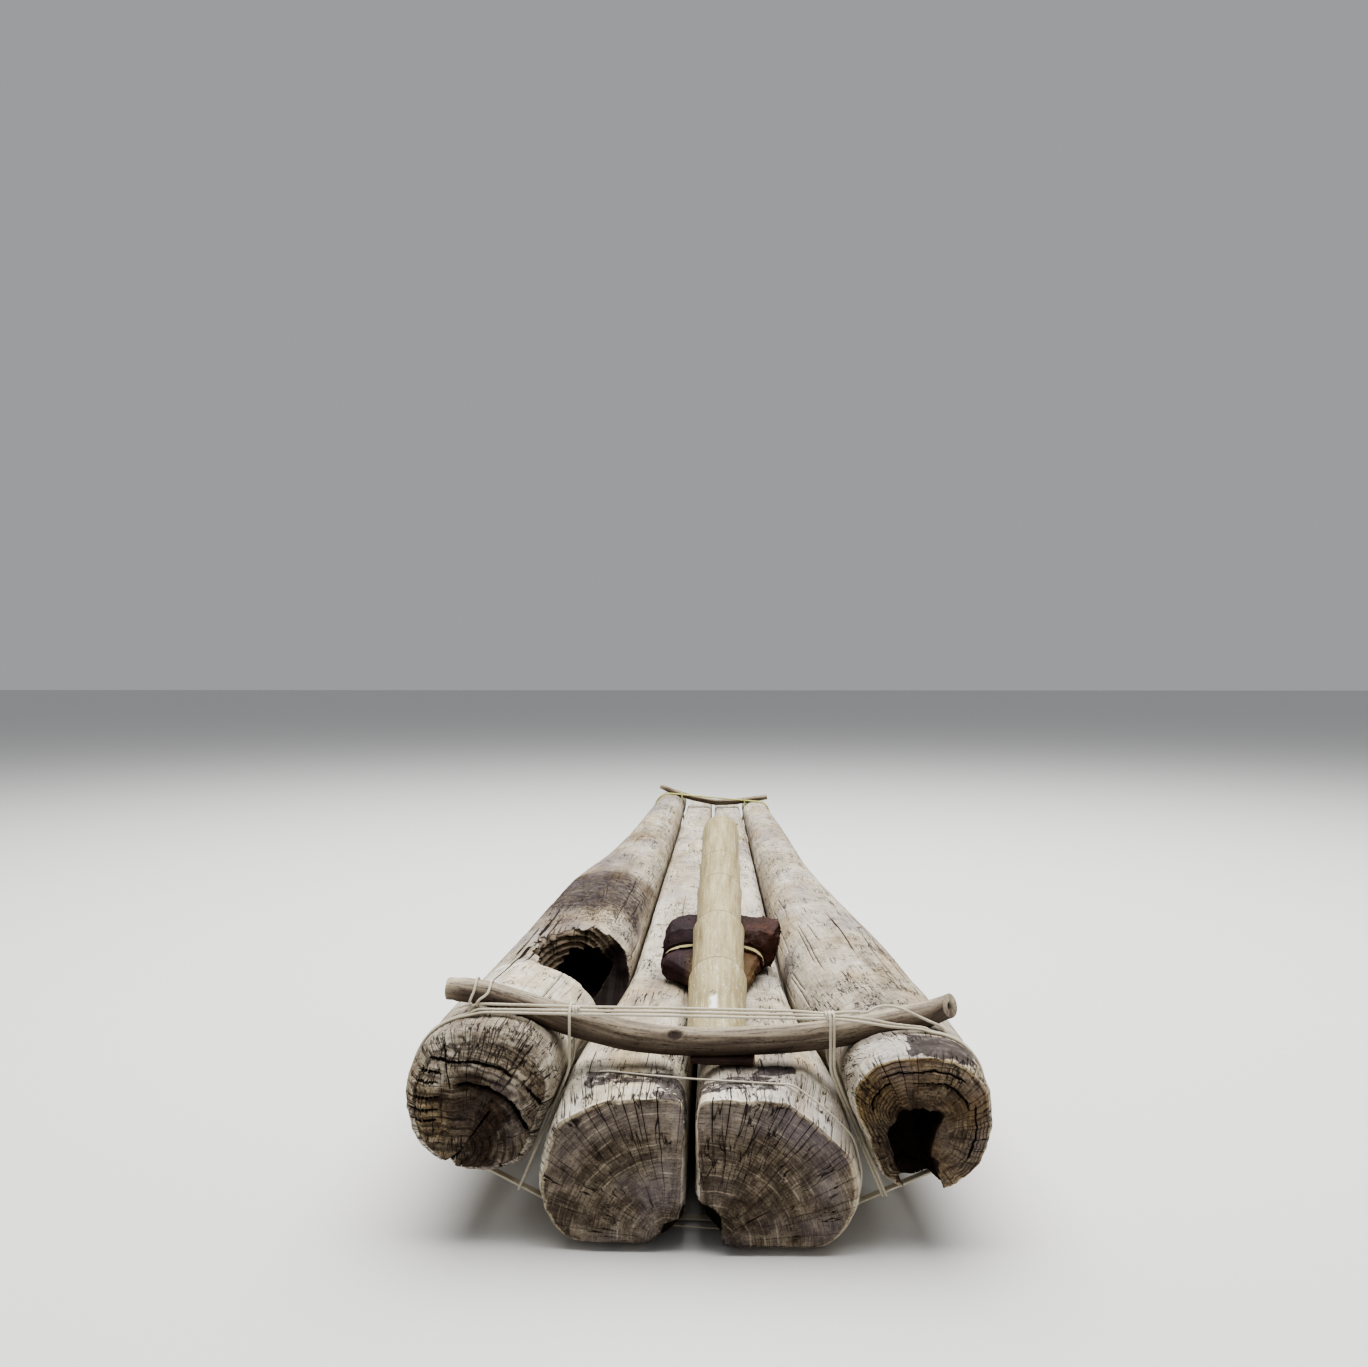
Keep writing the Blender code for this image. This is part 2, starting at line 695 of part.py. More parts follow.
def build_wedge(clearance):
    """Stick between the deck and the stern beam, shaped to the beam above it."""
    low = DECK_Z + GAP
    high = DECK_Z + WEDGE_TOP
    left, right = WEDGE_X
    near = STERN_BEAM_STATION - WEDGE_BREADTH / 2
    far = STERN_BEAM_STATION + WEDGE_BREADTH / 2
    outline = [(left, low), (right, low), (right, high), (left, high)]
    wedge = station_loft("beam_wedge", [(near, outline), (far, outline)], WEDGE_WOOD)
    cut(wedge, clearance)


def hoop_stations(beam_station, beam_radius, radius, turns):
    """Stations of hoop turns that lie side by side on the stern side of a beam."""
    first = beam_station - beam_radius - BEAM_CLEARANCE - radius
    return [first - turn * (2 * radius + GAP) for turn in range(turns)]


def build_stern_lashing(beam):
    """Hoop, frapping turns, beam-end hitch and the thin cord round the inner logs."""
    widest = max(radius for _, _, radius in beam)
    stations = hoop_stations(STERN_BEAM_STATION, widest, CORD_RADIUS, HOOP_TURNS)
    outline = lash_hoops("stern", stations, CORD_RADIUS, CREAM_CORD)
    right_lean = read_table(PLAN, PLAN_COLUMNS, STERN_ZONE_T)["right_lean"]
    step = (CORD_RADIUS + GAP / 2) / math.cos(math.atan(right_lean))
    # name, seam, sideways place
    turns = (
        ("stern_frapping_left", "left", 0.0),
        ("stern_frapping_right_1", "right", -step),
        ("stern_frapping_right_2", "right", step),
    )
    for name, seam, shift in turns:
        lash_frapping(name, seam, shift, outline, stations, beam, STERN_BEAM_STATION, STERN_ZONE_T,
                      CORD_RADIUS, CREAM_CORD)
    for turn, share in enumerate(HITCH_X, start=1):
        build_hitch_turn(f"beam_end_hitch_turn_{turn}", beam, share * HALF_WIDTH)
    inner = hoop_outline(("inner_left", "inner_right"), STERN_ZONE_START, THIN_CORD_RADIUS)
    left, right = min(x for x, _ in inner), max(x for x, _ in inner)
    start, end = INNER_LASHING_STATIONS
    points = [(x, y_at(start + (end - start) * (x - left) / (right - left)), z) for x, z in inner]
    cord_loop("inner_log_lashing", points, THIN_CORD_RADIUS, CREAM_CORD)


def build_hitch_turn(name, beam, x):
    """Turn of cord square round the beam at x."""
    index = next(i for i, row in enumerate(beam) if row[0] > x)
    low, high = beam[index - 1], beam[index]
    part = (x - low[0]) / (high[0] - low[0])
    along = Vector((high[0] - low[0], 0.0, high[1] - low[1])).normalized()
    upward = Vector((-along.z, 0.0, along.x))
    centre = Vector((x, y_at(STERN_BEAM_STATION), low[1] + part * (high[1] - low[1])))
    local_radius = low[2] + part * (high[2] - low[2])
    reach = (local_radius + CORD_RADIUS + GAP) / math.cos(math.pi / CIRCLE_POINTS)
    points = []
    for step in range(CIRCLE_POINTS):
        angle = 2 * math.pi * step / CIRCLE_POINTS
        sideways = Vector((0.0, math.cos(angle), 0.0))
        points.append(tuple(centre + reach * (sideways + upward * math.sin(angle))))
    cord_loop(name, points, CORD_RADIUS, CREAM_CORD)


def build_bow_lashing(beam, beam_station):
    """Hoop and frapping turns at the bow."""
    widest = max(radius for _, _, radius in beam)
    stations = hoop_stations(beam_station, widest, BOW_ROPE_RADIUS, HOOP_TURNS)
    outline = lash_hoops("bow", stations, BOW_ROPE_RADIUS, YELLOW_ROPE)
    for seam in ("left", "right"):
        lash_frapping("bow_frapping_" + seam, seam, 0.0, outline, stations, beam, beam_station, BOW_ZONE_T,
                      BOW_ROPE_RADIUS, YELLOW_ROPE)


def row_at(table, place):
    """Row of a table at a place, straight between its rows and straight on beyond its last one."""
    index = next((i for i in range(1, len(table)) if table[i][0] >= place), len(table) - 1)
    low, high = table[index - 1], table[index]
    part = (place - low[0]) / (high[0] - low[0])
    return tuple(a + part * (b - a) for a, b in zip(low, high))


def paddle_underside(station):
    """Height of the plane through the paddle's two lower edges."""
    return DECK_Z + GAP + (station - PADDLE_START) * math.tan(math.radians(PADDLE_TILT_DEG))


def paddle_section(place, share):
    """Outline of the split bamboo in its own frame at a distance from its stern end."""
    _, outer = row_at(PADDLE_RADII, place)
    inner = outer - PADDLE_WALL
    half_arc = math.radians(PADDLE_HALF_ARC_DEG) * share
    base = outer * math.cos(math.radians(PADDLE_HALF_ARC_DEG))
    outline = []
    for radius, way in ((outer, 1), (inner, -1)):
        for step in range(PADDLE_ARC_STEPS + 1):
            angle = way * half_arc * (1 - 2 * step / PADDLE_ARC_STEPS)
            outline.append((radius * math.sin(angle), max(radius * math.cos(angle) - base, 0.0)))
    return outline


def build_paddle():
    """Split bamboo, hinged up at its stern end so that it leans on the stone."""
    tip = PADDLE_LENGTH - PADDLE_TIP_ROUNDS[0][0]
    places = {place: 1.0 for place, _ in PADDLE_RADII if place < tip}
    for inset, share in PADDLE_TIP_ROUNDS:
        places[PADDLE_LENGTH - inset] = share
    tilt, yaw = math.radians(PADDLE_TILT_DEG), math.radians(PADDLE_YAW_DEG)
    ahead = Vector((math.sin(yaw), math.cos(yaw), 0.0))
    sideways = Vector((math.cos(yaw), -math.sin(yaw), 0.0))
    along = ahead * math.cos(tilt) + Vector((0.0, 0.0, math.sin(tilt)))
    upward = Vector((0.0, 0.0, math.cos(tilt))) - ahead * math.sin(tilt)
    start = Vector((PADDLE_X, y_at(PADDLE_START), paddle_underside(PADDLE_START)))
    rings = []
    for place in sorted(places):
        outline = paddle_section(place, places[place])
        rings.append([tuple(start + along * place + upward * z + sideways * x) for x, z in outline])
    loft("paddle", rings, BAMBOO)


def stone_section(row, waist):
    """Outline of the stone, flat on the deck and under the paddle, drawn in at its waist."""
    station, left, right, top = row
    inset = STONE_WAIST_DEPTH if waist else 0.0
    floor = DECK_Z + GAP + inset
    ceiling = paddle_underside(station) - GAP - inset
    bounds = (left + inset, right - inset, DECK_Z - STONE_BOTTOM_SINK, DECK_Z + top - inset)
    ring = rounded_ring(bounds, STONE_POWER, STONE_POWER, STONE_POINTS)
    outline = []
    for x, z in ring:
        z = min(max(z, floor), ceiling)
        side = STONE_SIDE_X + STONE_SIDE_LEAN * (z - DECK_Z) - inset
        outline.append((min(x, side), z))
    return outline


def build_stone():
    """Anchor stone with a waist cut round it, and the turns of cord in the waist."""
    near = STONE_WAIST_STATION - STONE_WAIST_HALF
    far = STONE_WAIST_STATION + STONE_WAIST_HALF
    waists = [(near - STONE_WAIST_RAMP, False), (near, True), (far, True), (far + STONE_WAIST_RAMP, False)]
    rows = [(row, False) for row in STONE] + [(row_at(STONE, station), waist) for station, waist in waists]
    rows.sort(key=lambda entry: entry[0][0])
    stations = [(row[0], stone_section(row, waist)) for row, waist in rows]
    station_loft("anchor_stone", stations, PURPLE_STONE)
    for turn, offset in enumerate(STONE_TURN_OFFSETS, start=1):
        station = STONE_WAIST_STATION + offset
        corners = []
        for edge in (station - CORD_RADIUS, station + CORD_RADIUS):
            corners += stone_section(row_at(STONE, edge), True)
        outline = offset_hull(convex_hull(corners), CORD_RADIUS + GAP)
        points = [(x, y_at(station), z) for x, z in outline]
        cord_loop(f"stone_cord_turn_{turn}", points, CORD_RADIUS, CREAM_CORD)


def main():
    """Builds the raft."""
    for piece in list(bpy.data.objects):
        bpy.data.objects.remove(piece, do_unlink=True)
    logs = build_logs()
    cut_pocket(logs["outer_left"])
    cut_end_hollow(logs["outer_right"])
    stern_path, stern_clearance = build_beam("stern_beam", STERN_BEAM, STERN_BEAM_STATION, STERN_ZONE_T,
                                             logs, BEAM_WOOD)
    bow_station = RAFT_LENGTH - BOW_BEAM_SETBACK
    bow_path, _ = build_beam("bow_beam", BOW_BEAM, bow_station, BOW_ZONE_T, logs, BEAM_WOOD)
    build_wedge(stern_clearance)
    build_stern_lashing(stern_path)
    build_bow_lashing(bow_path, bow_station)
    build_paddle()
    build_stone()


main()
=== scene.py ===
import math
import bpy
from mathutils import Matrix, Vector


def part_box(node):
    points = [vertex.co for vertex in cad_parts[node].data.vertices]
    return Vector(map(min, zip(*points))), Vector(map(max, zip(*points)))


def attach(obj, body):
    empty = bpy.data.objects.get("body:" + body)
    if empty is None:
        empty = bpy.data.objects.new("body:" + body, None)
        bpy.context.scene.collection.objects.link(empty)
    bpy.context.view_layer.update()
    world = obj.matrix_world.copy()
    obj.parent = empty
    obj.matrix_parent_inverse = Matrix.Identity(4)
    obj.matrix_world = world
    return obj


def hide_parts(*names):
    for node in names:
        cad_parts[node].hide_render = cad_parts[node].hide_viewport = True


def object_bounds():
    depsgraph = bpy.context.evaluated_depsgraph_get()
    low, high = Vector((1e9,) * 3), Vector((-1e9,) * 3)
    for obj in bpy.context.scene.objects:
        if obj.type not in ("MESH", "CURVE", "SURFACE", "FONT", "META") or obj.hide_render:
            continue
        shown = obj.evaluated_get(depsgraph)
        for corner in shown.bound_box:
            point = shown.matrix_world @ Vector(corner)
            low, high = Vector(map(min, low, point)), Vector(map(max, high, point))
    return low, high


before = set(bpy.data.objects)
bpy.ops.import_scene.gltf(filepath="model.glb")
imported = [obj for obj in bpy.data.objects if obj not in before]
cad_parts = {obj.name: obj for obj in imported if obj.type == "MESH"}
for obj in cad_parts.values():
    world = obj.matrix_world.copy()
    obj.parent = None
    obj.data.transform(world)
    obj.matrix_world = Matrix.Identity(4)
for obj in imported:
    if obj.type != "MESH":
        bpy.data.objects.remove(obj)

from types import SimpleNamespace

import bmesh
import bpy
import numpy as np
from mathutils import Vector
from mathutils.bvhtree import BVHTree
from mathutils.geometry import convex_hull_2d

cad_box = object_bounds()
STERN_Y = cad_box[0][1]

# Camera at the photograph's place, behind the stern and above the deck, and the floor, sky and light
IMAGE_WIDTH_PX = 1368
FOCAL_PX = 1200.0
SENSOR_MM = 36.0
CAMERA_X = 0.043
CAMERA_BACK = 2.0
CAMERA_Z = 0.98
CAMERA_PITCH_DEG = 0.549
CAMERA_YAW_DEG = 1.766
FLOOR_REACH = 60.0
FLOOR_COLOUR = (0.72, 0.71, 0.69)
SKY_COLOUR = (0.86, 0.88, 0.92)
SKY_STRENGTH = 0.38
LIGHT_PLACE = (0.3, 0.1, 6.0)
LIGHT_SIZE = 8.0
LIGHT_POWER = 1120.0

# Log grid: (station, spacing of the rows from there on), rows of the two ends, width in steps that smooths
# out the CAD's facets, how far that may reach outwards, half width of a crack in columns
ROW_SPACING = ((0.0, 0.0030), (0.06, 0.0050), (0.26, 0.0090), (1.05, 0.0700), (4.60, 0.0200))
CAP_ROWS = 54
BOW_CAP_ROWS = 10
FACET_SMOOTHING = 4.5
OUTWARD_LIMIT = 0.0008
CRACK_HALF_WIDTH = 0.38

# Logs: points round the grid, pith of the stern end, spacing of its growth rings, how far they follow the
# outline (0 circles the pith), how flat they lie left of the pith, their relief and tone (pale above 0,
# dark below), depth of the worn layers and of the blocks between cracks, rounding of the end, depth and
# darkness of the rot in its middle, roughness, bleaching of the skin and of the end, ochre of the end,
# strength of the pale line inside its rim, flaking of the skin beside it, extra cracks, seed
LOG_COLUMNS = (
    "name", "around", "pith_x", "pith_z", "ring_step", "ring_outline", "ring_flat", "ring_relief",
    "ring_tone", "layering", "blocks", "rounding", "rot", "decay", "rough", "skin_pale", "end_pale",
    "end_ochre", "rim_line", "flakes", "end_cracks", "seed")
LOGS = (
    ("log_outer_left", 288, -0.395, 0.172, 0.0130, 0.0, 1.0, 0.0010, -0.8,
     0.0080, 0.0034, 0.060, 0.004, 0.30, 1.6, 0.60, 0.31, 0.45, 0.00, 0.95, 26, 11),
    ("log_inner_left", 320, -0.045, 0.022, 0.0255, 0.0, 0.0, 0.0016, 0.8,
     0.0012, 0.0014, 0.010, 0.000, 0.00, 0.8, 0.74, 0.31, 0.12, 1.00, 0.10, 26, 23),
    ("log_inner_right", 320, 0.028, 0.022, 0.0255, 0.0, 0.0, 0.0016, 0.8,
     0.0012, 0.0014, 0.010, 0.000, 0.00, 0.8, 0.74, 0.25, 0.20, 1.00, 0.10, 26, 37),
    ("log_outer_right", 320, 0.372, 0.205, 0.0074, 1.0, 0.0, 0.0010, -1.0,
     0.0040, 0.0020, 0.030, 0.004, 0.35, 1.5, 0.68, 0.38, 0.95, 0.70, 0.45, 30, 53),
)

# Cracks that fan out from the pith: angle from +X in degrees, share of the radius where the crack starts,
# depth, columns wide on each side, length along the skin
END_CRACKS = {
    "log_inner_left": (
        (148.0, 0.35, 0.009, 0, 0.020), (139.0, 0.45, 0.008, 0, 0.015), (130.5, 0.30, 0.009, 0, 0.060),
        (122.0, 0.60, 0.008, 0, 0.090), (114.0, 0.30, 0.010, 0, 0.100), (108.0, 0.45, 0.009, 0, 0.070),
        (101.0, 0.40, 0.010, 0, 0.120), (94.5, 0.30, 0.009, 0, 0.050), (87.0, 0.70, 0.007, 0, 0.020),
        (160.0, 0.50, 0.008, 0, 0.010), (171.0, 0.45, 0.008, 0, 0.010), (135.0, 0.62, 0.008, 0, 0.030),
        (118.0, 0.70, 0.007, 0, 0.020)),
    "log_inner_right": (
        (89.0, 0.70, 0.007, 0, 0.020), (83.0, 0.60, 0.009, 0, 0.060), (77.0, 0.65, 0.009, 0, 0.060),
        (69.8, 0.60, 0.008, 0, 0.040), (61.0, 0.75, 0.007, 0, 0.030), (54.5, 0.50, 0.009, 0, 0.030),
        (42.5, 0.40, 0.010, 0, 0.050), (33.0, 0.60, 0.008, 0, 0.020), (25.0, 0.45, 0.008, 0, 0.020),
        (14.0, 0.45, 0.009, 0, 0.020), (37.5, 0.55, 0.008, 0, 0.020), (49.0, 0.35, 0.008, 0, 0.030),
        (4.0, 0.60, 0.008, 0, 0.010)),
    "log_outer_left": (
        (233.0, 0.12, 0.030, 3, 0.045), (262.0, 0.55, 0.010, 1, 0.020), (208.0, 0.60, 0.010, 0, 0.020),
        (190.0, 0.55, 0.010, 0, 0.020), (178.0, 0.50, 0.010, 0, 0.020), (168.0, 0.50, 0.009, 0, 0.020),
        (152.0, 0.60, 0.010, 0, 0.020), (98.0, 0.72, 0.010, 0, 0.010)),
    "log_outer_right": (
        (62.0, 0.45, 0.009, 0, 0.015), (69.0, 0.62, 0.009, 0, 0.015), (76.0, 0.62, 0.009, 0, 0.015),
        (50.0, 0.55, 0.009, 0, 0.015), (38.0, 0.55, 0.009, 0, 0.015), (24.0, 0.40, 0.009, 0, 0.015),
        (8.0, 0.45, 0.010, 0, 0.020), (-6.0, 0.45, 0.010, 0, 0.020), (-22.0, 0.45, 0.010, 0, 0.020),
        (90.0, 0.55, 0.008, 0, 0.010), (104.0, 0.50, 0.009, 0, 0.010), (118.0, 0.45, 0.009, 0, 0.010),
        (134.0, 0.45, 0.010, 0, 0.010)),
}

# Cracks inside an end that stop short of its rim: angle, share of the radius where they start and stop,
# depth, columns wide on each side
INNER_CRACKS = {"log_outer_left": ((53.0, 0.00, 0.40, 0.026, 2),),
                "log_inner_right": ((30.0, 0.12, 0.42, 0.014, 1),)}

# Cracks along a growth ring: first and last angle in degrees, the ring's place, depth, half width, and how
# much deeper the wood lies inside it
RING_CRACKS = {
    "log_outer_left": (
        (2.0, 106.0, 0.1040, 0.020, 0.0058, 0.010), (50.0, 128.0, 0.1430, 0.009, 0.0032, 0.005),
        (52.0, 118.0, 0.1870, 0.007, 0.0030, 0.006), (16.0, 44.0, 0.1430, 0.010, 0.0026, 0.000),
        (104.0, 126.0, 0.1690, 0.007, 0.0026, 0.003), (108.0, 140.0, 0.1230, 0.008, 0.0028, 0.003),
        (112.0, 146.0, 0.1060, 0.006, 0.0024, 0.000), (116.0, 160.0, 0.0790, 0.008, 0.0026, 0.002),
        (126.0, 168.0, 0.0600, 0.006, 0.0024, 0.000), (140.0, 178.0, 0.0430, 0.007, 0.0026, 0.002),
        (186.0, 226.0, 0.0560, 0.006, 0.0024, 0.000), (270.0, 330.0, 0.0700, 0.006, 0.0026, 0.000)),
    "log_outer_right": (
        (116.0, 156.0, 0.0360, 0.012, 0.0030, 0.004), (20.0, 100.0, 0.0410, 0.008, 0.0024, 0.003),
        (-30.0, 30.0, 0.0270, 0.007, 0.0022, 0.002), (40.0, 128.0, 0.0210, 0.005, 0.0018, 0.001)),
}

# Cracks along the skin: angle about the log's middle, first station, length, depth, and how many more are
# strewn over the skin
SKIN_CRACKS = {
    "log_outer_left": ((106.0, 0.56, 0.52, 0.009), (114.0, 0.60, 0.42, 0.008), (124.0, 0.68, 0.30, 0.007)),
    "log_outer_right": ((62.0, 0.16, 0.90, 0.009), (50.0, 0.42, 0.90, 0.008), (84.0, 0.75, 0.40, 0.007)),
}
STREWN_CRACKS = 160

# Flats worn off the upper corners of the stern end: two points on the flat as x and z, length
SHOULDERS = {
    "log_inner_left": ((-0.1394, 0.2598, -0.1829, 0.2445, 0.10), (-0.1829, 0.2445, -0.2548, 0.2058, 0.10)),
    "log_inner_right": ((0.1513, 0.2601, 0.2085, 0.2190, 0.12), (0.2085, 0.2190, 0.2780, 0.1500, 0.12)),
}
SHOULDER_DEPTH = 0.030
SHOULDER_ROUNDING = 0.003

# Corners that stay sharp at the stern end: x of the flank, z of the top, sharpness, length
SHARP_CORNERS = {"log_inner_left": ((-0.0160, 0.2635, 13.0, 0.150),),
                 "log_inner_right": ((0.0005, 0.2650, 13.0, 0.150),)}

# Pieces broken off the rim of an end: angle, half angle, share of the radius lost, length along the log
BROKEN_RIMS = {
    "log_inner_left": ((-112.0, 30.0, 0.10, 0.035),),
    "log_inner_right": ((-12.0, 8.0, 0.07, 0.040),),
    "log_outer_left": ((236.0, 9.0, 0.14, 0.035), (282.0, 26.0, 0.05, 0.030)),
    "log_outer_right": ((262.0, 30.0, 0.06, 0.030),),
}

# Corners broken out where the two inner logs meet, as outlines of (x, z), depth and seed
BROKEN_CORNERS = (
    ("log_inner_left", ((-0.094, -0.030), (-0.088, 0.004), (-0.068, 0.030), (-0.052, 0.046), (-0.034, 0.056),
                        (-0.022, 0.082), (0.020, 0.100), (0.030, -0.030)), 0.060, 101),
    ("log_inner_right", ((-0.040, -0.030), (-0.040, 0.100), (-0.002, 0.094), (0.020, 0.082), (0.047, 0.064),
                         (0.044, 0.040), (0.050, 0.020), (0.046, -0.030)), 0.095, 103),
)

# Hollow in the end of the outer right log, as an outline of (x, z), and the CAD's slot below it, which is
# bridged before the hollow is cut
END_HOLLOW = ((0.326, 0.205), (0.345, 0.232), (0.362, 0.246), (0.400, 0.247), (0.420, 0.238), (0.414, 0.224),
              (0.402, 0.206), (0.398, 0.178), (0.404, 0.150), (0.418, 0.120), (0.430, 0.060), (0.352, 0.060),
              (0.346, 0.120), (0.338, 0.160))
END_HOLLOW_DEPTH = 0.150
SLOT_LENGTH = 0.170
SLOT_ANGLE = 270.0
SLOT_HALF_ANGLE = 32.0
CUT_START = -0.03

# Rotten pocket in the outer left log: its middle as x, station and z, its radii, the wood layers that show
# on its wall (middle of the log as x and z, thickness of a layer, how far its edge juts out), the height
# below which its wall gets painted shade, the bore that leads on from it, the span without whole CAD rings,
# the span that is bridged before the pocket is cut, and the span of the log with finer rows and their spacing
POCKET = (-0.235, 0.765, 0.318)
POCKET_RADII = (0.150, 0.200, 0.150)
POCKET_LAYERS = (-0.343, 0.230, 0.0150, 0.024)
POCKET_SHADE_TOP = 0.336
BORE = (-0.300, 1.020, 0.240)
BORE_RADII = (0.076, 0.330, 0.070)
BORE_SHADE_TOP = 0.50
POCKET_RINGS = (0.50, 1.05)
POCKET_BRIDGE = (0.53, 1.02)
FINE_SPAN = (0.52, 1.02, 0.0058)

# Dark decayed parts of an end: angle, half angle, share of the radius that they reach to, strength
DARK_PARTS = {
    "log_outer_left": ((10.0, 75.0, 0.62, 0.95), (300.0, 60.0, 0.90, 0.75), (75.0, 40.0, 0.66, 0.60)),
    "log_outer_right": ((240.0, 70.0, 0.85, 0.55), (100.0, 80.0, 0.45, 0.70)),
}

# Tones of parts of an end: angle, half angle, share of the radius from which they lie outwards, how much
# paler and how much more ochre
END_TONES = {
    "log_outer_left": ((190.0, 85.0, 0.15, 0.15, 0.25), (72.0, 66.0, 0.72, 0.26, -0.20)),
    "log_outer_right": ((95.0, 60.0, 0.60, -0.04, 0.10),),
}

# Stains on the upper side of a log, with the dark patches of painted shade and painted shadow marked below:
# kind, x and half width, station and half length, strength
PATCHES = {
    "log_inner_right": (
        # The first entry, a dark grey patch, is painted shade for a shallow notch that is not cut into the
        # log.
        ("stain", 0.146, 0.042, 0.140, 0.024, 0.95), ("stain", 0.062, 0.070, 0.075, 0.030, 0.64),
        ("flake", 0.085, 0.090, 0.105, 0.022, 0.60), ("flake", 0.150, 0.030, 0.300, 0.080, 0.50),
        ("ochre", 0.120, 0.120, 0.420, 0.260, 0.14), ("pale", 0.120, 0.120, 0.030, 0.040, 0.14)),
    "log_inner_left": (
        ("stain", -0.100, 0.090, 0.100, 0.030, 0.62), ("stain", -0.045, 0.030, 0.075, 0.060, 0.64),
        ("flake", -0.110, 0.085, 0.095, 0.026, 0.60), ("flake", -0.075, 0.050, 0.300, 0.080, 0.80),
        ("ochre", -0.100, 0.120, 0.420, 0.260, 0.14), ("pale", -0.120, 0.120, 0.030, 0.040, 0.14)),
    "log_outer_left": (
        ("pale", -0.330, 0.130, 0.400, 0.170, 0.26), ("flake", -0.310, 0.140, 1.180, 0.180, 0.80),
        # These two darken the far part of the log, from station 1.16 on, as a painted shadow.
        ("pale", -0.300, 0.170, 1.480, 0.320, -0.32), ("stain", -0.300, 0.170, 1.440, 0.280, 0.52)),
    "log_outer_right": (
        ("stain", 0.420, 0.055, 0.075, 0.045, 0.90), ("pale", 0.330, 0.050, 0.060, 0.050, 0.22),
        ("flake", 0.330, 0.100, 0.380, 0.170, 0.35)),
}

# Free runs of the stern hoop between the two outer logs: station and course as (x, z) of each strand
HOOP_RUNS = (
    (0.1382, ((-0.4060, 0.3800), (-0.3938, 0.3840), (-0.3000, 0.3822), (-0.2206, 0.3801), (-0.0656, 0.3792),
              (0.1748, 0.3756), (0.2335, 0.3712), (0.2531, 0.3738), (0.2870, 0.3756), (0.3030, 0.3725),
              (0.3092, 0.3792), (0.3244, 0.3860), (0.3466, 0.3867), (0.3689, 0.3800), (0.4027, 0.3640),
              (0.4401, 0.3480))),
    (0.1318, ((-0.3960, 0.3760), (-0.3000, 0.3757), (-0.2198, 0.3750), (-0.0653, 0.3742), (0.1744, 0.3706),
              (0.2330, 0.3690), (0.2712, 0.3675), (0.3085, 0.3639), (0.3458, 0.3560), (0.3832, 0.3520),
              (0.4100, 0.3497))),
    (0.1256, ((-0.3840, 0.3720), (-0.3000, 0.3714), (-0.2192, 0.3705), (-0.0651, 0.3692), (0.1741, 0.3658),
              (0.2326, 0.3665), (0.2707, 0.3630), (0.3079, 0.3585), (0.3451, 0.3525), (0.4050, 0.3480))),
)

# Frapping turns of the stern: node, x at the seam's reference height, lean of the seam, x at the beam, z of
# the hoop below
STERN_FRAPPINGS = (
    ("stern_frapping_left", -0.2575, 0.42, -0.2150, 0.0600),
    ("stern_frapping_right_1", 0.2677, -0.42, 0.2330, 0.0565),
    ("stern_frapping_right_2", 0.2739, -0.42, 0.2360, 0.0565),
)
SEAM_REFERENCE_Z = 0.200
FRAPPING_BEND_Z = 0.274
STERN_BEAM_STATION = 0.170

# Hitch on the beam's left end: x at the beam and where it meets the hoop, of each turn, the meeting place
# as station and z, and its tail as x, station and z. Knots round the hoop's strands: x, z and station.
HITCHES = ((-0.4006, -0.4082), (-0.3747, -0.3960))
HITCH_MEETING = (0.1360, 0.3850)
HITCH_TAIL = ((-0.404, 0.136, 0.3850), (-0.410, 0.133, 0.3846), (-0.418, 0.130, 0.3838),
              (-0.425, 0.127, 0.3800))
KNOTS = ((-0.2160, 0.3755, 0.1318), (0.2335, 0.3690, 0.1318))
KNOT_RADII = (0.0095, 0.0085)
KNOT_TURNS = 2.4
KNOT_WIDTH = 0.012

# Thin cord round the inner logs: (x, station) of its upper side, and of its straight lower side
THIN_CORD_STATION = 0.080
THIN_CORD_TOP = ((-0.2043, 0.135), (-0.1536, 0.125), (-0.0868, 0.105), (-0.0109, 0.087), (0.0638, 0.075),
                 (0.1393, 0.063), (0.1871, 0.060))
THIN_CORD_BOTTOM = ((-0.28, 0.125), (0.29, 0.060))

CORD_RADIUS = 0.00265
THIN_CORD_RADIUS = 0.0018
STONE_CORD_RADIUS = 0.0019
BOW_ROPE_RADIUS = 0.0034
CLEARANCE = 0.0003
CORD_SIDES = 12
TURNS = (1, 2, 3)

PADDLE_LENGTH = 1.38
PADDLE_STATION = 0.215
PADDLE_X = 0.0342
PADDLE_TILT_DEG = 10.0
PADDLE_YAW_DEG = 0.35
PADDLE_WALL = 0.012
PADDLE_HALF_ARC_DEG = 80.0
PADDLE_RADII = ((0.000, 0.0585), (0.200, 0.0592), (0.320, 0.0634), (0.334, 0.0634), (0.338, 0.0577),
                (0.450, 0.0575), (0.590, 0.0614), (0.604, 0.0616), (0.608, 0.0547), (0.730, 0.0545),
                (0.852, 0.0580), (0.867, 0.0581), (0.871, 0.0540), (0.960, 0.0538), (1.048, 0.0557),
                (1.058, 0.0558), (1.062, 0.0526), (1.200, 0.0528), (1.320, 0.0540), (1.380, 0.0540))
PADDLE_NODES = (0.336, 0.606, 0.869, 1.060)
PADDLE_TIP_ROUNDS = ((0.000, 0.62), (0.002, 0.72), (0.008, 0.82), (0.020, 0.93), (0.036, 1.00))
PADDLE_OUTER_STEPS = 48
PADDLE_INNER_STEPS = 24
DECK_Z = 0.270

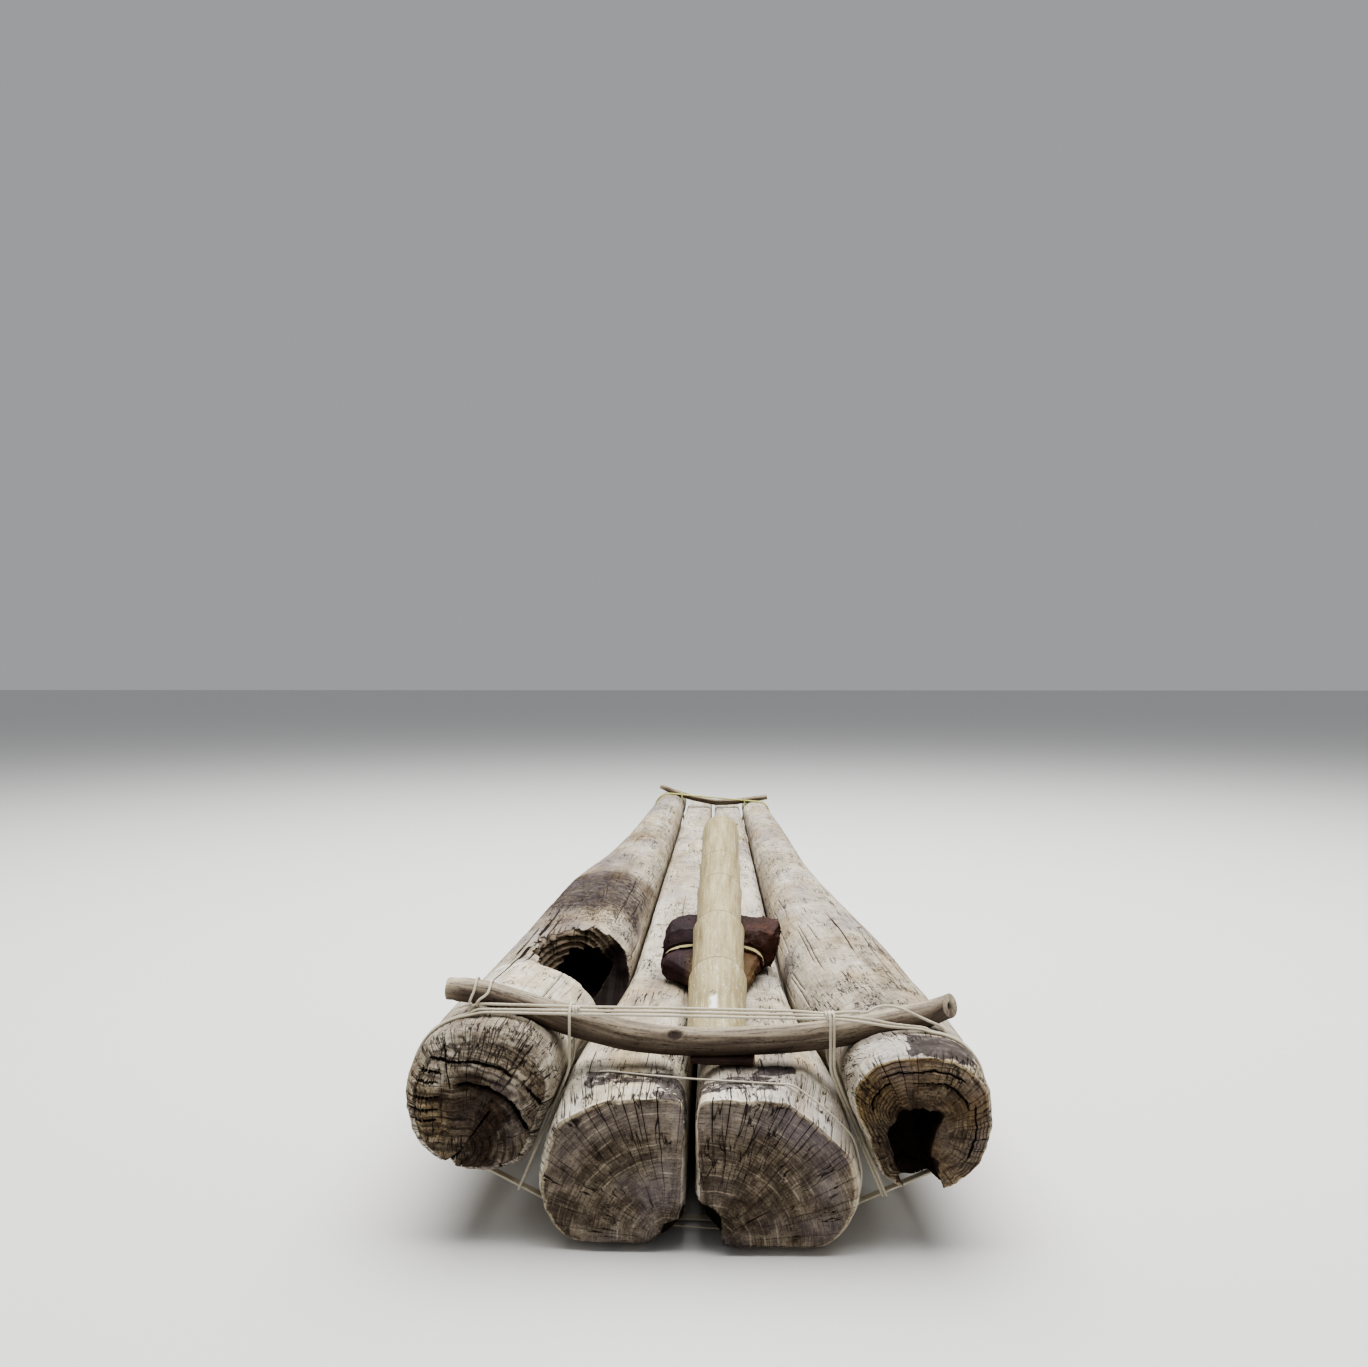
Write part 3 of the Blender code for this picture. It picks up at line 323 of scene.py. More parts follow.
# Beams: how far from its ends the CAD shape is felt out, sides of the CAD shape, points round the grid,
# rows and their distance from the ends, shares of the radius of an end's rings, and the stern beam's knot
BEAM_END_FELT = 0.022
BEAM_SIDES = 12
BEAM_AROUND = 56
BEAM_ROWS = 258
BEAM_RIM = 0.0005
CAP_SHARES = np.array((0.03, 0.14, 0.24, 0.34, 0.50, 0.68, 0.86, 0.975))
BEAM_KNOT = (-0.0391, STERN_Y + 0.1445, 0.3317)
BEAM_KNOT_RADIUS = 0.0132

# Colours by tone, from dark to light
DRIFTWOOD = ((0.00, (0.026, 0.019, 0.015)), (0.25, (0.095, 0.073, 0.053)), (0.50, (0.265, 0.222, 0.168)),
             (0.75, (0.490, 0.440, 0.352)), (1.00, (0.730, 0.685, 0.590)))
DECAY = ((0.25, (0.006, 0.003, 0.002)), (0.45, (0.030, 0.017, 0.011)), (0.62, (0.085, 0.057, 0.037)),
         (0.85, (0.240, 0.185, 0.125)))
DAMP_STAIN_AND_SHADE = ((0.30, (0.018, 0.013, 0.013)), (0.52, (0.056, 0.044, 0.044)), (0.70, (0.160, 0.135, 0.132)))
BRANCH = ((0.0, (0.042, 0.029, 0.022)), (0.45, (0.150, 0.114, 0.084)), (1.0, (0.520, 0.445, 0.325)))
BAMBOO = ((0.0, (0.170, 0.120, 0.052)), (0.50, (0.375, 0.308, 0.160)), (1.0, (0.590, 0.520, 0.330)))
PURPLE_STONE = ((0.0, (0.008, 0.003, 0.003)), (0.55, (0.026, 0.010, 0.012)), (1.0, (0.062, 0.030, 0.032)))
RED_STONE = ((0.0, (0.010, 0.003, 0.002)), (0.55, (0.042, 0.014, 0.008)), (1.0, (0.125, 0.052, 0.028)))
WET_STICK = ((0.30, (0.018, 0.008, 0.006)), (0.55, (0.070, 0.032, 0.022)), (0.80, (0.170, 0.095, 0.065)))
CREAM_CORD = ((0.340, 0.280, 0.185), (0.860, 0.800, 0.650))
STONE_CORD = ((0.230, 0.190, 0.070), (0.700, 0.620, 0.330))
YELLOW_ROPE = ((0.230, 0.235, 0.050), (0.620, 0.620, 0.260))

SKINS = {}


def corner_value(x, y, z, seed):
    """Repeatable number from 0 to 1 for each corner of a lattice."""
    mixed = (x * 73856093 ^ y * 19349663 ^ z * 83492791 ^ seed * 374761393) & 0xFFFFFFFF
    mixed = ((mixed ^ (mixed >> 13)) * 1274126177) & 0xFFFFFFFF
    return ((mixed ^ (mixed >> 16)) & 0xFFFF) / 65535.0


def noise(points, scale, seed):
    """Smooth noise from 0 to 1, with features 1 / scale metres apart along each axis."""
    place = points * np.asarray(scale, float)
    low = np.floor(place)
    part = place - low
    low = low.astype(np.int64)
    part = part * part * (3 - 2 * part)
    total = np.zeros(points.shape[:-1])
    for corner in range(8):
        weight, cells = 1.0, []
        for axis in range(3):
            bit = (corner >> axis) & 1
            weight = weight * (part[..., axis] if bit else 1 - part[..., axis])
            cells.append(low[..., axis] + bit)
        total += weight * corner_value(*cells, seed)
    return total


def fractal(points, scale, seed, octaves=3):
    """Noise with finer and fainter layers, from 0 to 1."""
    total, reach = 0.0, 0.0
    for octave in range(octaves):
        share = 0.5 ** octave
        total = total + share * noise(points, np.asarray(scale, float) * 2 ** octave, seed + octave)
        reach += share
    return total / reach


def wave(points, scale, seed, octaves=3):
    """Layered noise about zero."""
    return fractal(points, scale, seed, octaves) - 0.5


def smooth_step(value, start, end):
    """Eased change from 0 at start to 1 at end."""
    part = np.clip((value - start) / (end - start), 0.0, 1.0)
    return part * part * (3 - 2 * part)


def fading(value, reach):
    """One at zero, falling straight to zero at a reach."""
    return np.clip(1.0 - value / reach, 0.0, 1.0)


def add_object(name, vertices, faces, material, fields=None):
    """Smooth-shaded mesh object from arrays of faces, with float fields on its points."""
    mesh = bpy.data.meshes.new(name)
    sides = np.concatenate([np.full(len(part), part.shape[1], np.int32) for part in faces])
    corners = np.concatenate([np.asarray(part, np.int32).ravel() for part in faces])
    mesh.vertices.add(len(vertices))
    mesh.vertices.foreach_set("co", np.asarray(vertices, np.float32).ravel())
    mesh.loops.add(len(corners))
    mesh.loops.foreach_set("vertex_index", corners)
    mesh.polygons.add(len(sides))
    mesh.polygons.foreach_set("loop_start", np.concatenate([[0], np.cumsum(sides)[:-1]]).astype(np.int32))
    mesh.polygons.foreach_set("use_smooth", np.ones(len(sides), bool))
    mesh.update(calc_edges=True)
    for key, values in (fields or {}).items():
        values = np.ascontiguousarray(values, np.float32).reshape(len(vertices), -1)
        kind, field = ("FLOAT", "value") if values.shape[1] == 1 else ("FLOAT_VECTOR", "vector")
        mesh.attributes.new(key, kind, "POINT").data.foreach_set(field, values.ravel())
    piece = bpy.data.objects.new(name, mesh)
    bpy.context.scene.collection.objects.link(piece)
    mesh.materials.append(material)
    return piece


def tube_faces(rows, around):
    """Quads between the rows of a grid that closes round itself."""
    row = np.arange(rows - 1)[:, None] * around
    column = np.arange(around)[None, :]
    after = (column + 1) % around
    return np.stack([row + column, row + after, row + around + after, row + around + column],
                    axis=-1).reshape(-1, 4)


def close_tube(name, grid, material, fields, flip=False):
    """Closed object from a grid whose first and last rows shrink to a point, turned inside out if asked."""
    rows, around = grid.shape[:2]
    order = slice(None, None, -1 if flip else 1)
    grid = grid[:, order]
    points = np.vstack([grid.reshape(-1, 3), grid[0].mean(0)[None], grid[-1].mean(0)[None]])
    closed = {}
    for key, values in fields.items():
        extra = np.shape(values)[2:]
        flat = np.broadcast_to(values, (rows, around, *extra))[:, order].reshape(rows * around, -1)
        closed[key] = np.concatenate([flat, flat[:1], flat[-around:-around + 1]])
    column = np.arange(around)
    after = (column + 1) % around
    low, last = rows * around, (rows - 1) * around
    start = np.stack([after, column, np.full(around, low)], -1)
    finish = np.stack([last + column, last + after, np.full(around, low + 1)], -1)
    return add_object(name, points, [tube_faces(rows, around), start, finish], material, closed)


def finish_piece(piece, slot, body, *nodes):
    """Attaches a piece to its body and hides the CAD nodes that it stands for. The slot is not used."""
    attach(piece, body)
    if nodes:
        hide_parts(*nodes)


def node_tree_of(name):
    """Ray-casting tree and vertices of a CAD node."""
    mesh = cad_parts[name].data
    vertices = np.array([tuple(v.co) for v in mesh.vertices])
    faces = [tuple(p.vertices) for p in mesh.polygons]
    return BVHTree.FromPolygons([tuple(v) for v in vertices], faces), vertices


def log_rows(first, last, fine):
    """World y of the rows of a log, closer together at the stern and, where asked, in the fine span."""
    places = [first]
    while places[-1] < last - 0.004:
        station = places[-1] - STERN_Y
        spacing = [step for start, step in ROW_SPACING if station >= start][-1]
        if fine and FINE_SPAN[0] < station < FINE_SPAN[1]:
            spacing = FINE_SPAN[2]
        places.append(places[-1] + spacing)
    places[-1] = last
    return np.array(places)


def section_centres(name, vertices, rows):
    """Middle of the log's outline at each row, read from the rings that nothing is cut out of."""
    places = np.round(vertices[:, 1], 4)
    found = []
    for place in np.unique(places):
        ring = vertices[places == place]
        pocket = name == "log_outer_left" and POCKET_RINGS[0] < place - STERN_Y < POCKET_RINGS[1]
        if len(ring) >= 20 and not pocket:
            found.append((place, *(ring[:, [0, 2]].min(0) + ring[:, [0, 2]].max(0)) / 2))
    found = np.array(found)
    return np.stack([np.interp(rows, found[:, 0], found[:, axis]) for axis in (1, 2)], 1)


def cast_outline(tree, centres, rows, angles):
    """Distance from the log's middle to its CAD surface in each direction."""
    radii = np.zeros(angles.shape)
    reach = 0.6
    for i, (place, (x, z)) in enumerate(zip(rows, centres)):
        inner = min(max(place, rows[0] + 0.0002), rows[-1] - 0.0002)
        for j, angle in enumerate(angles[i]):
            across, upward = math.cos(angle), math.sin(angle)
            origin = Vector((x + across * reach, inner, z + upward * reach))
            distance = tree.ray_cast(origin, Vector((-across, 0.0, -upward)))[3]
            radii[i, j] = reach - distance if distance is not None else np.nan
    for line in radii:
        bad = np.isnan(line)
        if bad.any():
            line[bad] = np.interp(np.flatnonzero(bad), np.flatnonzero(~bad), line[~bad])
    return radii


def smooth_round(radii, sigma):
    """Evens a closed outline out along itself."""
    reach = int(3 * sigma)
    total, weights = 0.0, 0.0
    for shift in range(-reach, reach + 1):
        weight = math.exp(-0.5 * (shift / sigma) ** 2)
        total = total + weight * np.roll(radii, shift, axis=1)
        weights += weight
    return total / weights


def fill_pocket(radii, stations):
    """Bridges the rotten pocket, which is cut out again afterwards."""
    before, after = np.searchsorted(stations, POCKET_BRIDGE)
    for i in range(before, after):
        part = (stations[i] - stations[before]) / (stations[after] - stations[before])
        bridge = radii[before] + part * (radii[after] - radii[before])
        radii[i] = np.where(radii[i] < bridge - 0.006, bridge, radii[i])


def angle_gap(angles, degrees):
    """Difference from an angle in degrees, from -180 to 180."""
    return (np.degrees(angles) - degrees + 180.0) % 360.0 - 180.0


def fill_slot(radii, angles, stations):
    """Bridges the slot under the hollow in an end, which is cut out again afterwards."""
    for i in np.flatnonzero(stations < SLOT_LENGTH):
        gap = angle_gap(angles[i], SLOT_ANGLE)
        order = np.argsort(gap)
        inside = np.abs(gap[order]) < SLOT_HALF_ANGLE
        values = radii[i, order]
        values[inside] = np.interp(gap[order][inside], gap[order][~inside], values[~inside])
        radii[i, order] = values


def column_at(rim, degrees):
    """Column of the grid nearest to an angle."""
    return int(np.argmin(np.abs(angle_gap(rim, degrees))))


def crack_columns(log):
    """Cracks of a log's stern end and skin, each with the column of the grid that it runs along."""
    rng, count = np.random.default_rng(log.seed), log.around
    taken, ends, runs = [], [], []

    def free(column, gap):
        """Whether no crack runs closer than a gap to a column."""
        return all(min((column - other) % count, (other - column) % count) >= gap for other in taken)

    for degrees, *crack in END_CRACKS[log.name]:
        taken.append(column_at(log.rim, degrees))
        ends.append((taken[-1], *crack))
    for _ in range(log.end_cracks):
        column = int(rng.integers(count))
        if free(column, 4):
            taken.append(column)
            ends.append((column, rng.uniform(0.35, 0.85), rng.uniform(0.003, 0.006), 0,
                         rng.uniform(0.004, 0.030)))
    for _ in range(STREWN_CRACKS):
        column = int(rng.integers(count))
        if column in taken or free(column, 3):
            taken.append(column)
            first = rng.uniform(-0.05, 4.4) if rng.random() < 0.45 else rng.uniform(-0.03, 1.1)
            runs.append((column, first, rng.uniform(0.03, 0.22) + rng.random() ** 6,
                         rng.uniform(0.003, 0.008), 0))
    for degrees, *crack in SKIN_CRACKS.get(log.name, ()):
        taken.append(round(degrees / 360.0 * count))
        runs.append((taken[-1], *crack, 1))
    return taken, ends, runs


def squeezed(base, columns):
    """Grid angles with the neighbours of each crack's column drawn in, so that the crack is narrow."""
    count = base.shape[1]
    step = 2 * np.pi / count
    for column in columns:
        for side in (-1, 1):
            base[:, (column + side) % count] = base[:, column] + side * CRACK_HALF_WIDTH * step
    return base


def patch_values(name, kind, points, upward):
    """Strength of the stains of one kind on the upper side of a log."""
    total = np.zeros(points.shape[:-1])
    ragged = 0.8 * wave(points, 22.0, 200)
    for what, x, half_x, station, half_station, strength in PATCHES[name]:
        if what == kind:
            gap = np.maximum(np.abs(points[..., 0] - x) / half_x,
                             np.abs(points[..., 1] - STERN_Y - station) / half_station)
            total += strength * smooth_step(gap + ragged, 1.15, 0.85) * smooth_step(upward, 0.1, 0.5)
    return total


def soften_pocket(skin, upward):
    """How far the skin lies back round the rotten pocket: well rounded before it, a thin lip elsewhere."""
    across, along, high = ((skin[..., axis] - middle) / radius for axis, middle, radius in
                           zip(range(3), (POCKET[0], STERN_Y + POCKET[1], POCKET[2]), POCKET_RADII))
    edge = np.sqrt(across ** 2 + along ** 2 + high ** 2)
    before = smooth_step(-along / (np.hypot(across, along) + 1e-6), 0.15, 0.85)
    ragged = edge + 0.10 * wave(skin, (16.0, 9.0, 16.0), 90)
    rounded = 0.034 * np.clip(1.42 - edge, 0.0, 0.42) ** 2 / 0.42 ** 2
    lip = 0.008 * smooth_step(ragged, 1.12, 1.0)
    return (before * rounded + (1 - before) * lip) * smooth_step(upward, -0.1, 0.3)


def read_shape(log):
    """Grid of a log, felt out on its CAD node: rows, directions, outline and the cracks along its columns."""
    tree, vertices = node_tree_of(log.name)
    log.rows = rows = log_rows(vertices[:, 1].min(), vertices[:, 1].max(), log.name == "log_outer_left")
    log.stations = rows - rows[0]
    log.centres = centres = section_centres(log.name, vertices, rows)
    log.pith = np.array([log.pith_x, rows[0], log.pith_z])
    base = np.tile(2 * np.pi * np.arange(log.around) / log.around, (len(rows), 1))
    first = cast_outline(tree, centres[:1], rows[[0, -1]], base[:1])[0]
    log.rim = np.arctan2(centres[0, 1] + np.sin(base[0]) * first - log.pith[2],
                         centres[0, 0] + np.cos(base[0]) * first - log.pith[0])
    taken, log.end_runs, log.skin_runs = crack_columns(log)
    base = squeezed(base, taken)
    guide = np.stack([np.cos(base) * 0.15, rows[:, None] + 0 * base, np.sin(base) * 0.15], -1)
    log.angles = base + 0.10 * wave(guide, (9.0, 5.0, 9.0), log.seed, 2)
    log.angles += 0.026 * wave(guide, (4.0, 22.0, 4.0), log.seed + 30)
    radii = cast_outline(tree, centres, rows, log.angles)
    if log.name == "log_outer_left":
        fill_pocket(radii, rows - STERN_Y)
    if log.name == "log_outer_right":
        fill_slot(radii, log.angles, log.stations)
    radii = np.minimum(smooth_round(radii, FACET_SMOOTHING), radii + OUTWARD_LIMIT)
    radii *= 1.0 - log.rounding * fading(log.stations, 0.045)[:, None] ** 2
    for flank, top, power, reach in SHARP_CORNERS.get(log.name, ()):
        level = np.cos(log.angles) / (flank - centres[:, :1])
        rise = np.sin(log.angles) / (top - centres[:, 1:])
        corner = (np.abs(level) ** power + np.abs(rise) ** power) ** (-1.0 / power)
        near = smooth_step(np.minimum(level, rise) * radii, 0.0, 0.35)
        near = near * smooth_step(log.stations, reach, reach * 0.5)[:, None]
        radii = radii + near * np.maximum(corner - radii, 0.0)
    log.radii = radii


def on_log(log, distances):
    """Points of a log's grid at given distances from its middle."""
    return np.stack([log.centres[:, :1] + np.cos(log.angles) * distances,
                     np.broadcast_to(log.rows[:, None], distances.shape),
                     log.centres[:, 1:] + np.sin(log.angles) * distances], -1)


def raise_to(part, values):
    """Lifts part of a field to at least the given values."""
    np.maximum(part, values, out=part)


def cut_cracks(log, wear):
    """Cracks cut into the wear of the skin and into the stern end, with their marks."""
    shares, crack = log.shares, np.zeros(wear.shape)
    cap_depth, cap_crack = np.zeros((2, CAP_ROWS + 1, log.around))
    for column, begin, length, depth, wide in log.skin_runs:
        profile = np.sin(np.pi * np.clip((log.stations - begin) / length, 0.0, 1.0)) ** 0.6
        for shift in range(-wide, wide + 1):
            here, share = (column + shift) % log.around, 0.45 if shift else 1.0
            wear[:, here] += share * depth * profile
            raise_to(crack[:, here], share * np.minimum(profile * 1.6, 1.0))
    fans = [(column, depth, wide, np.clip((shares - start) / (1.0 - start), 0.0, 1.0) ** 0.6, reach)
            for column, start, depth, wide, reach in log.end_runs]
    for degrees, start, finish, depth, wide in INNER_CRACKS.get(log.name, ()):
        grown = smooth_step(shares, start - 0.01, start + 0.08)
        grown = grown * smooth_step(shares, finish + 0.02, finish - 0.12)
        fans.append((column_at(log.rim, degrees), depth, wide, grown, None))
    for column, depth, wide, grown, reach in fans:
        for shift in range(-wide, wide + 1):
            here, lighter = (column + shift) % log.around, 1.0 - abs(shift) / (wide + 1.0)
            raise_to(cap_depth[:, here], depth * lighter * grown)
            if reach is None:
                raise_to(cap_crack[:, here], lighter ** 0.5 * grown)
                continue
            run = fading(log.stations, reach)
            raise_to(cap_crack[:, here], lighter * smooth_step(grown, 0.0, 0.3))
            wear[:, here] += 0.5 * depth * lighter * run ** 0.7
            raise_to(crack[:, here], lighter * smooth_step(run, 0.0, 0.3))
    log.crack, log.cap_depth, log.cap_crack = crack, cap_depth, cap_crack


def shape_skin(log):
    """Skin of a log: undulation, grain ridges, pits, cracks, and what is worn or broken off its stern end."""
    skin, seed, stations = on_log(log, log.radii), log.seed, log.stations
    near_end = fading(stations, 0.10)[:, None] * log.rough
    wear = 0.0045 * fractal(skin, (7.0, 2.2, 7.0), seed + 1)
    wear += (0.0016 + 0.0030 * near_end) * fractal(skin, (60.0, 9.0, 60.0), seed + 2)
    wear += 0.0022 * smooth_step(fractal(skin, (38.0, 12.0, 38.0), seed + 3), 0.60, 0.74)
    if log.name == "log_outer_left":
        wear += soften_pocket(skin, np.sin(log.angles))
    cut_cracks(log, wear)
    lost = np.zeros(wear.shape)
    ragged = wave(skin, (60.0, 40.0, 60.0), seed + 4)
    for middle, half, share, reach in BROKEN_RIMS[log.name]:
        fade = smooth_step(np.abs(angle_gap(log.rim, middle))[None, :] + 10.0 * ragged, half, half * 0.55)
        fade = fade * smooth_step(stations[:, None] + 0.03 * ragged, reach, reach * 0.6)
        raise_to(lost, share * fade)
    skin = on_log(log, log.radii - wear)
    skin[..., ::2] -= lost[..., None] * (skin[..., ::2] - log.pith[::2])
    for x1, z1, x2, z2, reach in SHOULDERS.get(log.name, ()):
        normal = np.array([z1 - z2, x2 - x1]) * np.sign(x2 - x1) / math.hypot(z1 - z2, x2 - x1)
        beyond = (skin[..., 0] - x1) * normal[0] + (skin[..., 2] - z1) * normal[1]
        beyond = beyond - SHOULDER_DEPTH * np.clip(stations / reach, 0.0, 1.0)[:, None] ** 1.5
        cut = (beyond + np.hypot(beyond, SHOULDER_ROUNDING)) / 2
        skin[..., ::2] -= cut[..., None] * normal
    return skin


def shape_end(log, skin):
    """Stern end of a log: a fan from the pith to the rim, with worn layers, rot and cracks cut into it."""
    seed, shares = log.seed, log.shares
    cap = log.pith + shares[:, None, None] * (skin[0] - log.pith)
    sideways, above = cap[..., 0] - log.pith[0], cap[..., 2] - log.pith[2]
    away = np.hypot(sideways, above)
    turn = np.broadcast_to(log.rim, away.shape)
    flat = log.ring_flat * smooth_step(-sideways, -0.010, 0.030)
    ring_away = np.hypot(sideways * (1 - 0.88 * flat), above) + flat * 2.0 * (sideways + 0.06) ** 2
    follow = log.ring_outline
    ring_place = (1 - follow) * ring_away + follow * (away[-1:] - away) * (0.12 / away[-1:].mean())
    phase = (ring_place + 0.012 * wave(cap, 14.0, seed + 5)) / log.ring_step
    across = turn * 0.16
    if log.ring_flat:
        across = np.where(sideways < 0, sideways, (np.pi / 2 - turn) * 0.13)
    guide = np.stack([across, ring_place, np.full(away.shape, seed * 0.37)], -1)
    clear = smooth_step(away, 0.012, 0.050)
    layered = fractal(guide, (16.0, 150.0, 1.0), seed + 7)
    checked = fractal(guide, (120.0, 18.0, 1.0), seed + 8)
    cells = np.floor(across / 0.012 + 1.2 * noise(guide, (20.0, 30.0, 1.0), seed + 9)).astype(np.int64)
    block = corner_value(cells, np.floor(phase * 1.5).astype(np.int64), seed, 5)
    line = np.exp(-((phase - np.floor(phase) - 0.5) / 0.14) ** 2)
    strength = smooth_step(noise(cap, 24.0, seed + 6), 0.20, 0.70)
    rotten = smooth_step(shares[:, None] + 0.25 * wave(cap, 30.0, seed + 10), 0.72, 0.40)
    drift = 0.0060 * np.sin(np.pi * shares)[:, None, None]
    drift = drift * np.stack([wave(cap, 26.0, seed + 20 + axis) for axis in (0, 1)], -1)
    depth = log.rough * (0.0060 * fractal(cap, 13.0, seed + 11) + 0.0030 * fractal(cap, 70.0, seed + 19))
    depth += clear * (log.layering * (layered + 0.6 * checked) + log.blocks * block)
    depth -= log.ring_relief * line * strength
    depth += log.rot * rotten + log.rounding * 0.35 * smooth_step(shares, 0.72, 1.0)[:, None] ** 2
    ring_wobble = 0.010 * wave(cap, 24.0, seed + 12)
    for start, finish, place, sunk, half, step in RING_CRACKS.get(log.name, ()):
        middle, width = (start + finish) / 2, (finish - start) / 2
        inside = smooth_step(np.abs(angle_gap(turn, middle)), width, width * 0.72)
        gap = (ring_place + ring_wobble - place) * (1 - 2 * follow)
        groove = np.clip(1.0 - np.abs(gap) / half, 0.0, 1.0) * inside
        stepped = smooth_step(gap, 0.001, -0.003) * smooth_step(gap, -0.060, -0.030)
        depth += sunk * groove ** 0.8 + step * inside * stepped
        raise_to(log.cap_crack, smooth_step(groove, 0.10, 0.55))
    depth += log.cap_depth
    cap[..., ::2] += drift
    cap[..., 1] = log.rows[0] + depth
    skin[..., 1] += depth[-1][None, :] * fading(log.stations, 0.09)[:, None]
    plain = np.stack([sideways, above, np.zeros(away.shape)], -1)
    log.cap_grain = guide + (1.0 - smooth_step(away, 0.020, 0.060))[..., None] * (plain - guide)
    log.turn, log.phase, log.strength, log.rotten = turn, phase, strength, rotten
    log.worn = clear * (0.14 * (block - 0.5) - 22.0 * log.layering * smooth_step(layered, 0.50, 0.72))
    return cap


def end_colours(log, cap, broad, fine):
    """Bleaching, ochre, pale rim line, purple band and decay of a log's stern end."""
    shares, turn = log.shares[:, None], log.turn
    rim_line = log.rim_line * smooth_step(shares, 0.968, 0.988) * smooth_step(fine, 0.22, 0.45)
    band = smooth_step(shares, 0.70, 0.84) * smooth_step(shares, 0.985, 0.95)
    band = band * smooth_step(np.sin(turn), 0.3, 0.7) * log.rim_line
    pale = log.end_pale + 0.35 * (broad - 0.5) + 0.30 * (fine - 0.5)
    pale = pale + 0.06 * band + log.worn + 0.50 * rim_line
    ochre = 0.4 + 0.6 * smooth_step(fractal(cap, 16.0, log.seed + 18, 2), 0.4, 0.7)
    ochre = log.end_ochre * ochre + 0.4 * rim_line
    for middle, half, share, paler, warmer in END_TONES.get(log.name, ()):
        inside = smooth_step(np.abs(angle_gap(turn, middle)), half, half * 0.6)
        inside = inside * smooth_step(shares + 0.4 * (fine - 0.5), share - 0.08, share + 0.08)
        pale += paler * inside
        ochre += warmer * inside
    rot = log.rotten * log.decay
    for middle, half, share, strength in DARK_PARTS.get(log.name, ()):
        inside = smooth_step(np.abs(angle_gap(turn, middle)), half, half * 0.6)
        raise_to(rot, strength * inside * smooth_step(shares + 0.5 * (fine - 0.5), share, share - 0.15))
    return pale, ochre, 0.30 * band * (1 - rim_line), rot


def log_fields(log, cap, skin, bow, grid):
    """Values for the shader at each point of a log's grid."""
    seed, ends, whole_cap = log.seed, slice(CAP_ROWS), slice(CAP_ROWS + 1)
    on_skin = slice(CAP_ROWS, CAP_ROWS + len(log.rows))
    broad = fractal(grid, (6.0, 2.5, 6.0), seed + 14)
    fine = fractal(grid, (55.0, 14.0, 55.0), seed + 15)
    keys = ("end", "crack", "ring", "line", "pale", "purple", "ochre", "flake", "stain", "rot")
    fields = {key: np.zeros(grid.shape[:2]) for key in keys}
    fields["end"][ends] = 1.0
    fields["end"][on_skin.stop:] = 1.0
    fields["crack"][ends] = log.cap_crack[:-1]
    fields["crack"][on_skin] = log.crack
    fields["ring"][whole_cap] = log.phase
    fields["line"][ends] = (log.ring_tone * log.strength)[:-1]
    fields["pale"][:] = log.skin_pale + 0.40 * (broad - 0.5) + 0.30 * (fine - 0.5)
    fields["purple"][:] = 0.55 * smooth_step(fractal(grid, (9.0, 4.0, 9.0), seed + 16), 0.50, 0.70)
    fields["ochre"][:] = 0.40 * smooth_step(fractal(grid, (14.0, 6.0, 14.0), seed + 17, 2), 0.50, 0.72)
    pale, ochre, purple, rot = end_colours(log, cap, broad[whole_cap], fine[whole_cap])
    fields["pale"][whole_cap] = pale
    fields["pale"][on_skin][1:3] += 0.12
    fields["purple"][whole_cap] += purple
    fields["ochre"][whole_cap] = ochre
    fields["rot"][whole_cap] = rot
    upper = smooth_step(log.shares, 0.66, 0.86)[:, None] * smooth_step(np.sin(log.turn), 0.0, 0.5)
    fields["flake"][ends] = (log.flakes * upper)[:-1]
    fields["flake"][on_skin] = log.flakes * fading(log.stations, 0.13)[:, None] ** 0.7
    for kind in ("pale", "purple", "ochre", "flake", "stain"):
        fields[kind][on_skin] += patch_values(log.name, kind, skin, np.sin(log.angles))
    fields = {key: np.clip(values, -1, 1 if key != "ring" else 99) for key, values in fields.items()}
    flat = np.zeros(bow.shape[:2])
    fields["grain"] = np.concatenate([
        log.cap_grain[:-1],
        np.stack([log.angles * 0.13, skin[..., 1], np.full(log.angles.shape, float(seed))], -1),
        np.stack([log.angles[-1] * 0.13 + flat, log.bow_shares * 0.1 + flat, seed + 0.7 + flat], -1)])
    return fields


def build_log(row, material):
    """One log: its skin over the CAD shape, its stern end with rings and cracks, and its bow end."""
    log = SimpleNamespace(**dict(zip(LOG_COLUMNS, row)))
    log.shares = (np.arange(CAP_ROWS + 1) / CAP_ROWS) ** 0.8
    log.shares[0] = 0.004
    log.bow_shares = np.linspace(1.0, 0.004, BOW_CAP_ROWS + 1)[1:, None]
    read_shape(log)
    skin = shape_skin(log)
    cap = shape_end(log, skin)
    SKINS[log.name] = skin
    bow_middle = skin[-1].mean(0)
    bow = bow_middle + log.bow_shares[..., None] * (skin[-1] - bow_middle)
    bow[..., 1] = log.rows[-1] - (0.010 * fractal(bow, 14.0, log.seed + 13) - 0.008) * (1 - log.bow_shares)
    grid = np.concatenate([cap[:-1], skin, bow])
    piece = close_tube(log.name + "_wood", grid, material, log_fields(log, cap, skin, bow, grid))
    finish_piece(piece, "weathered_log", "raft", log.name)
    return piece


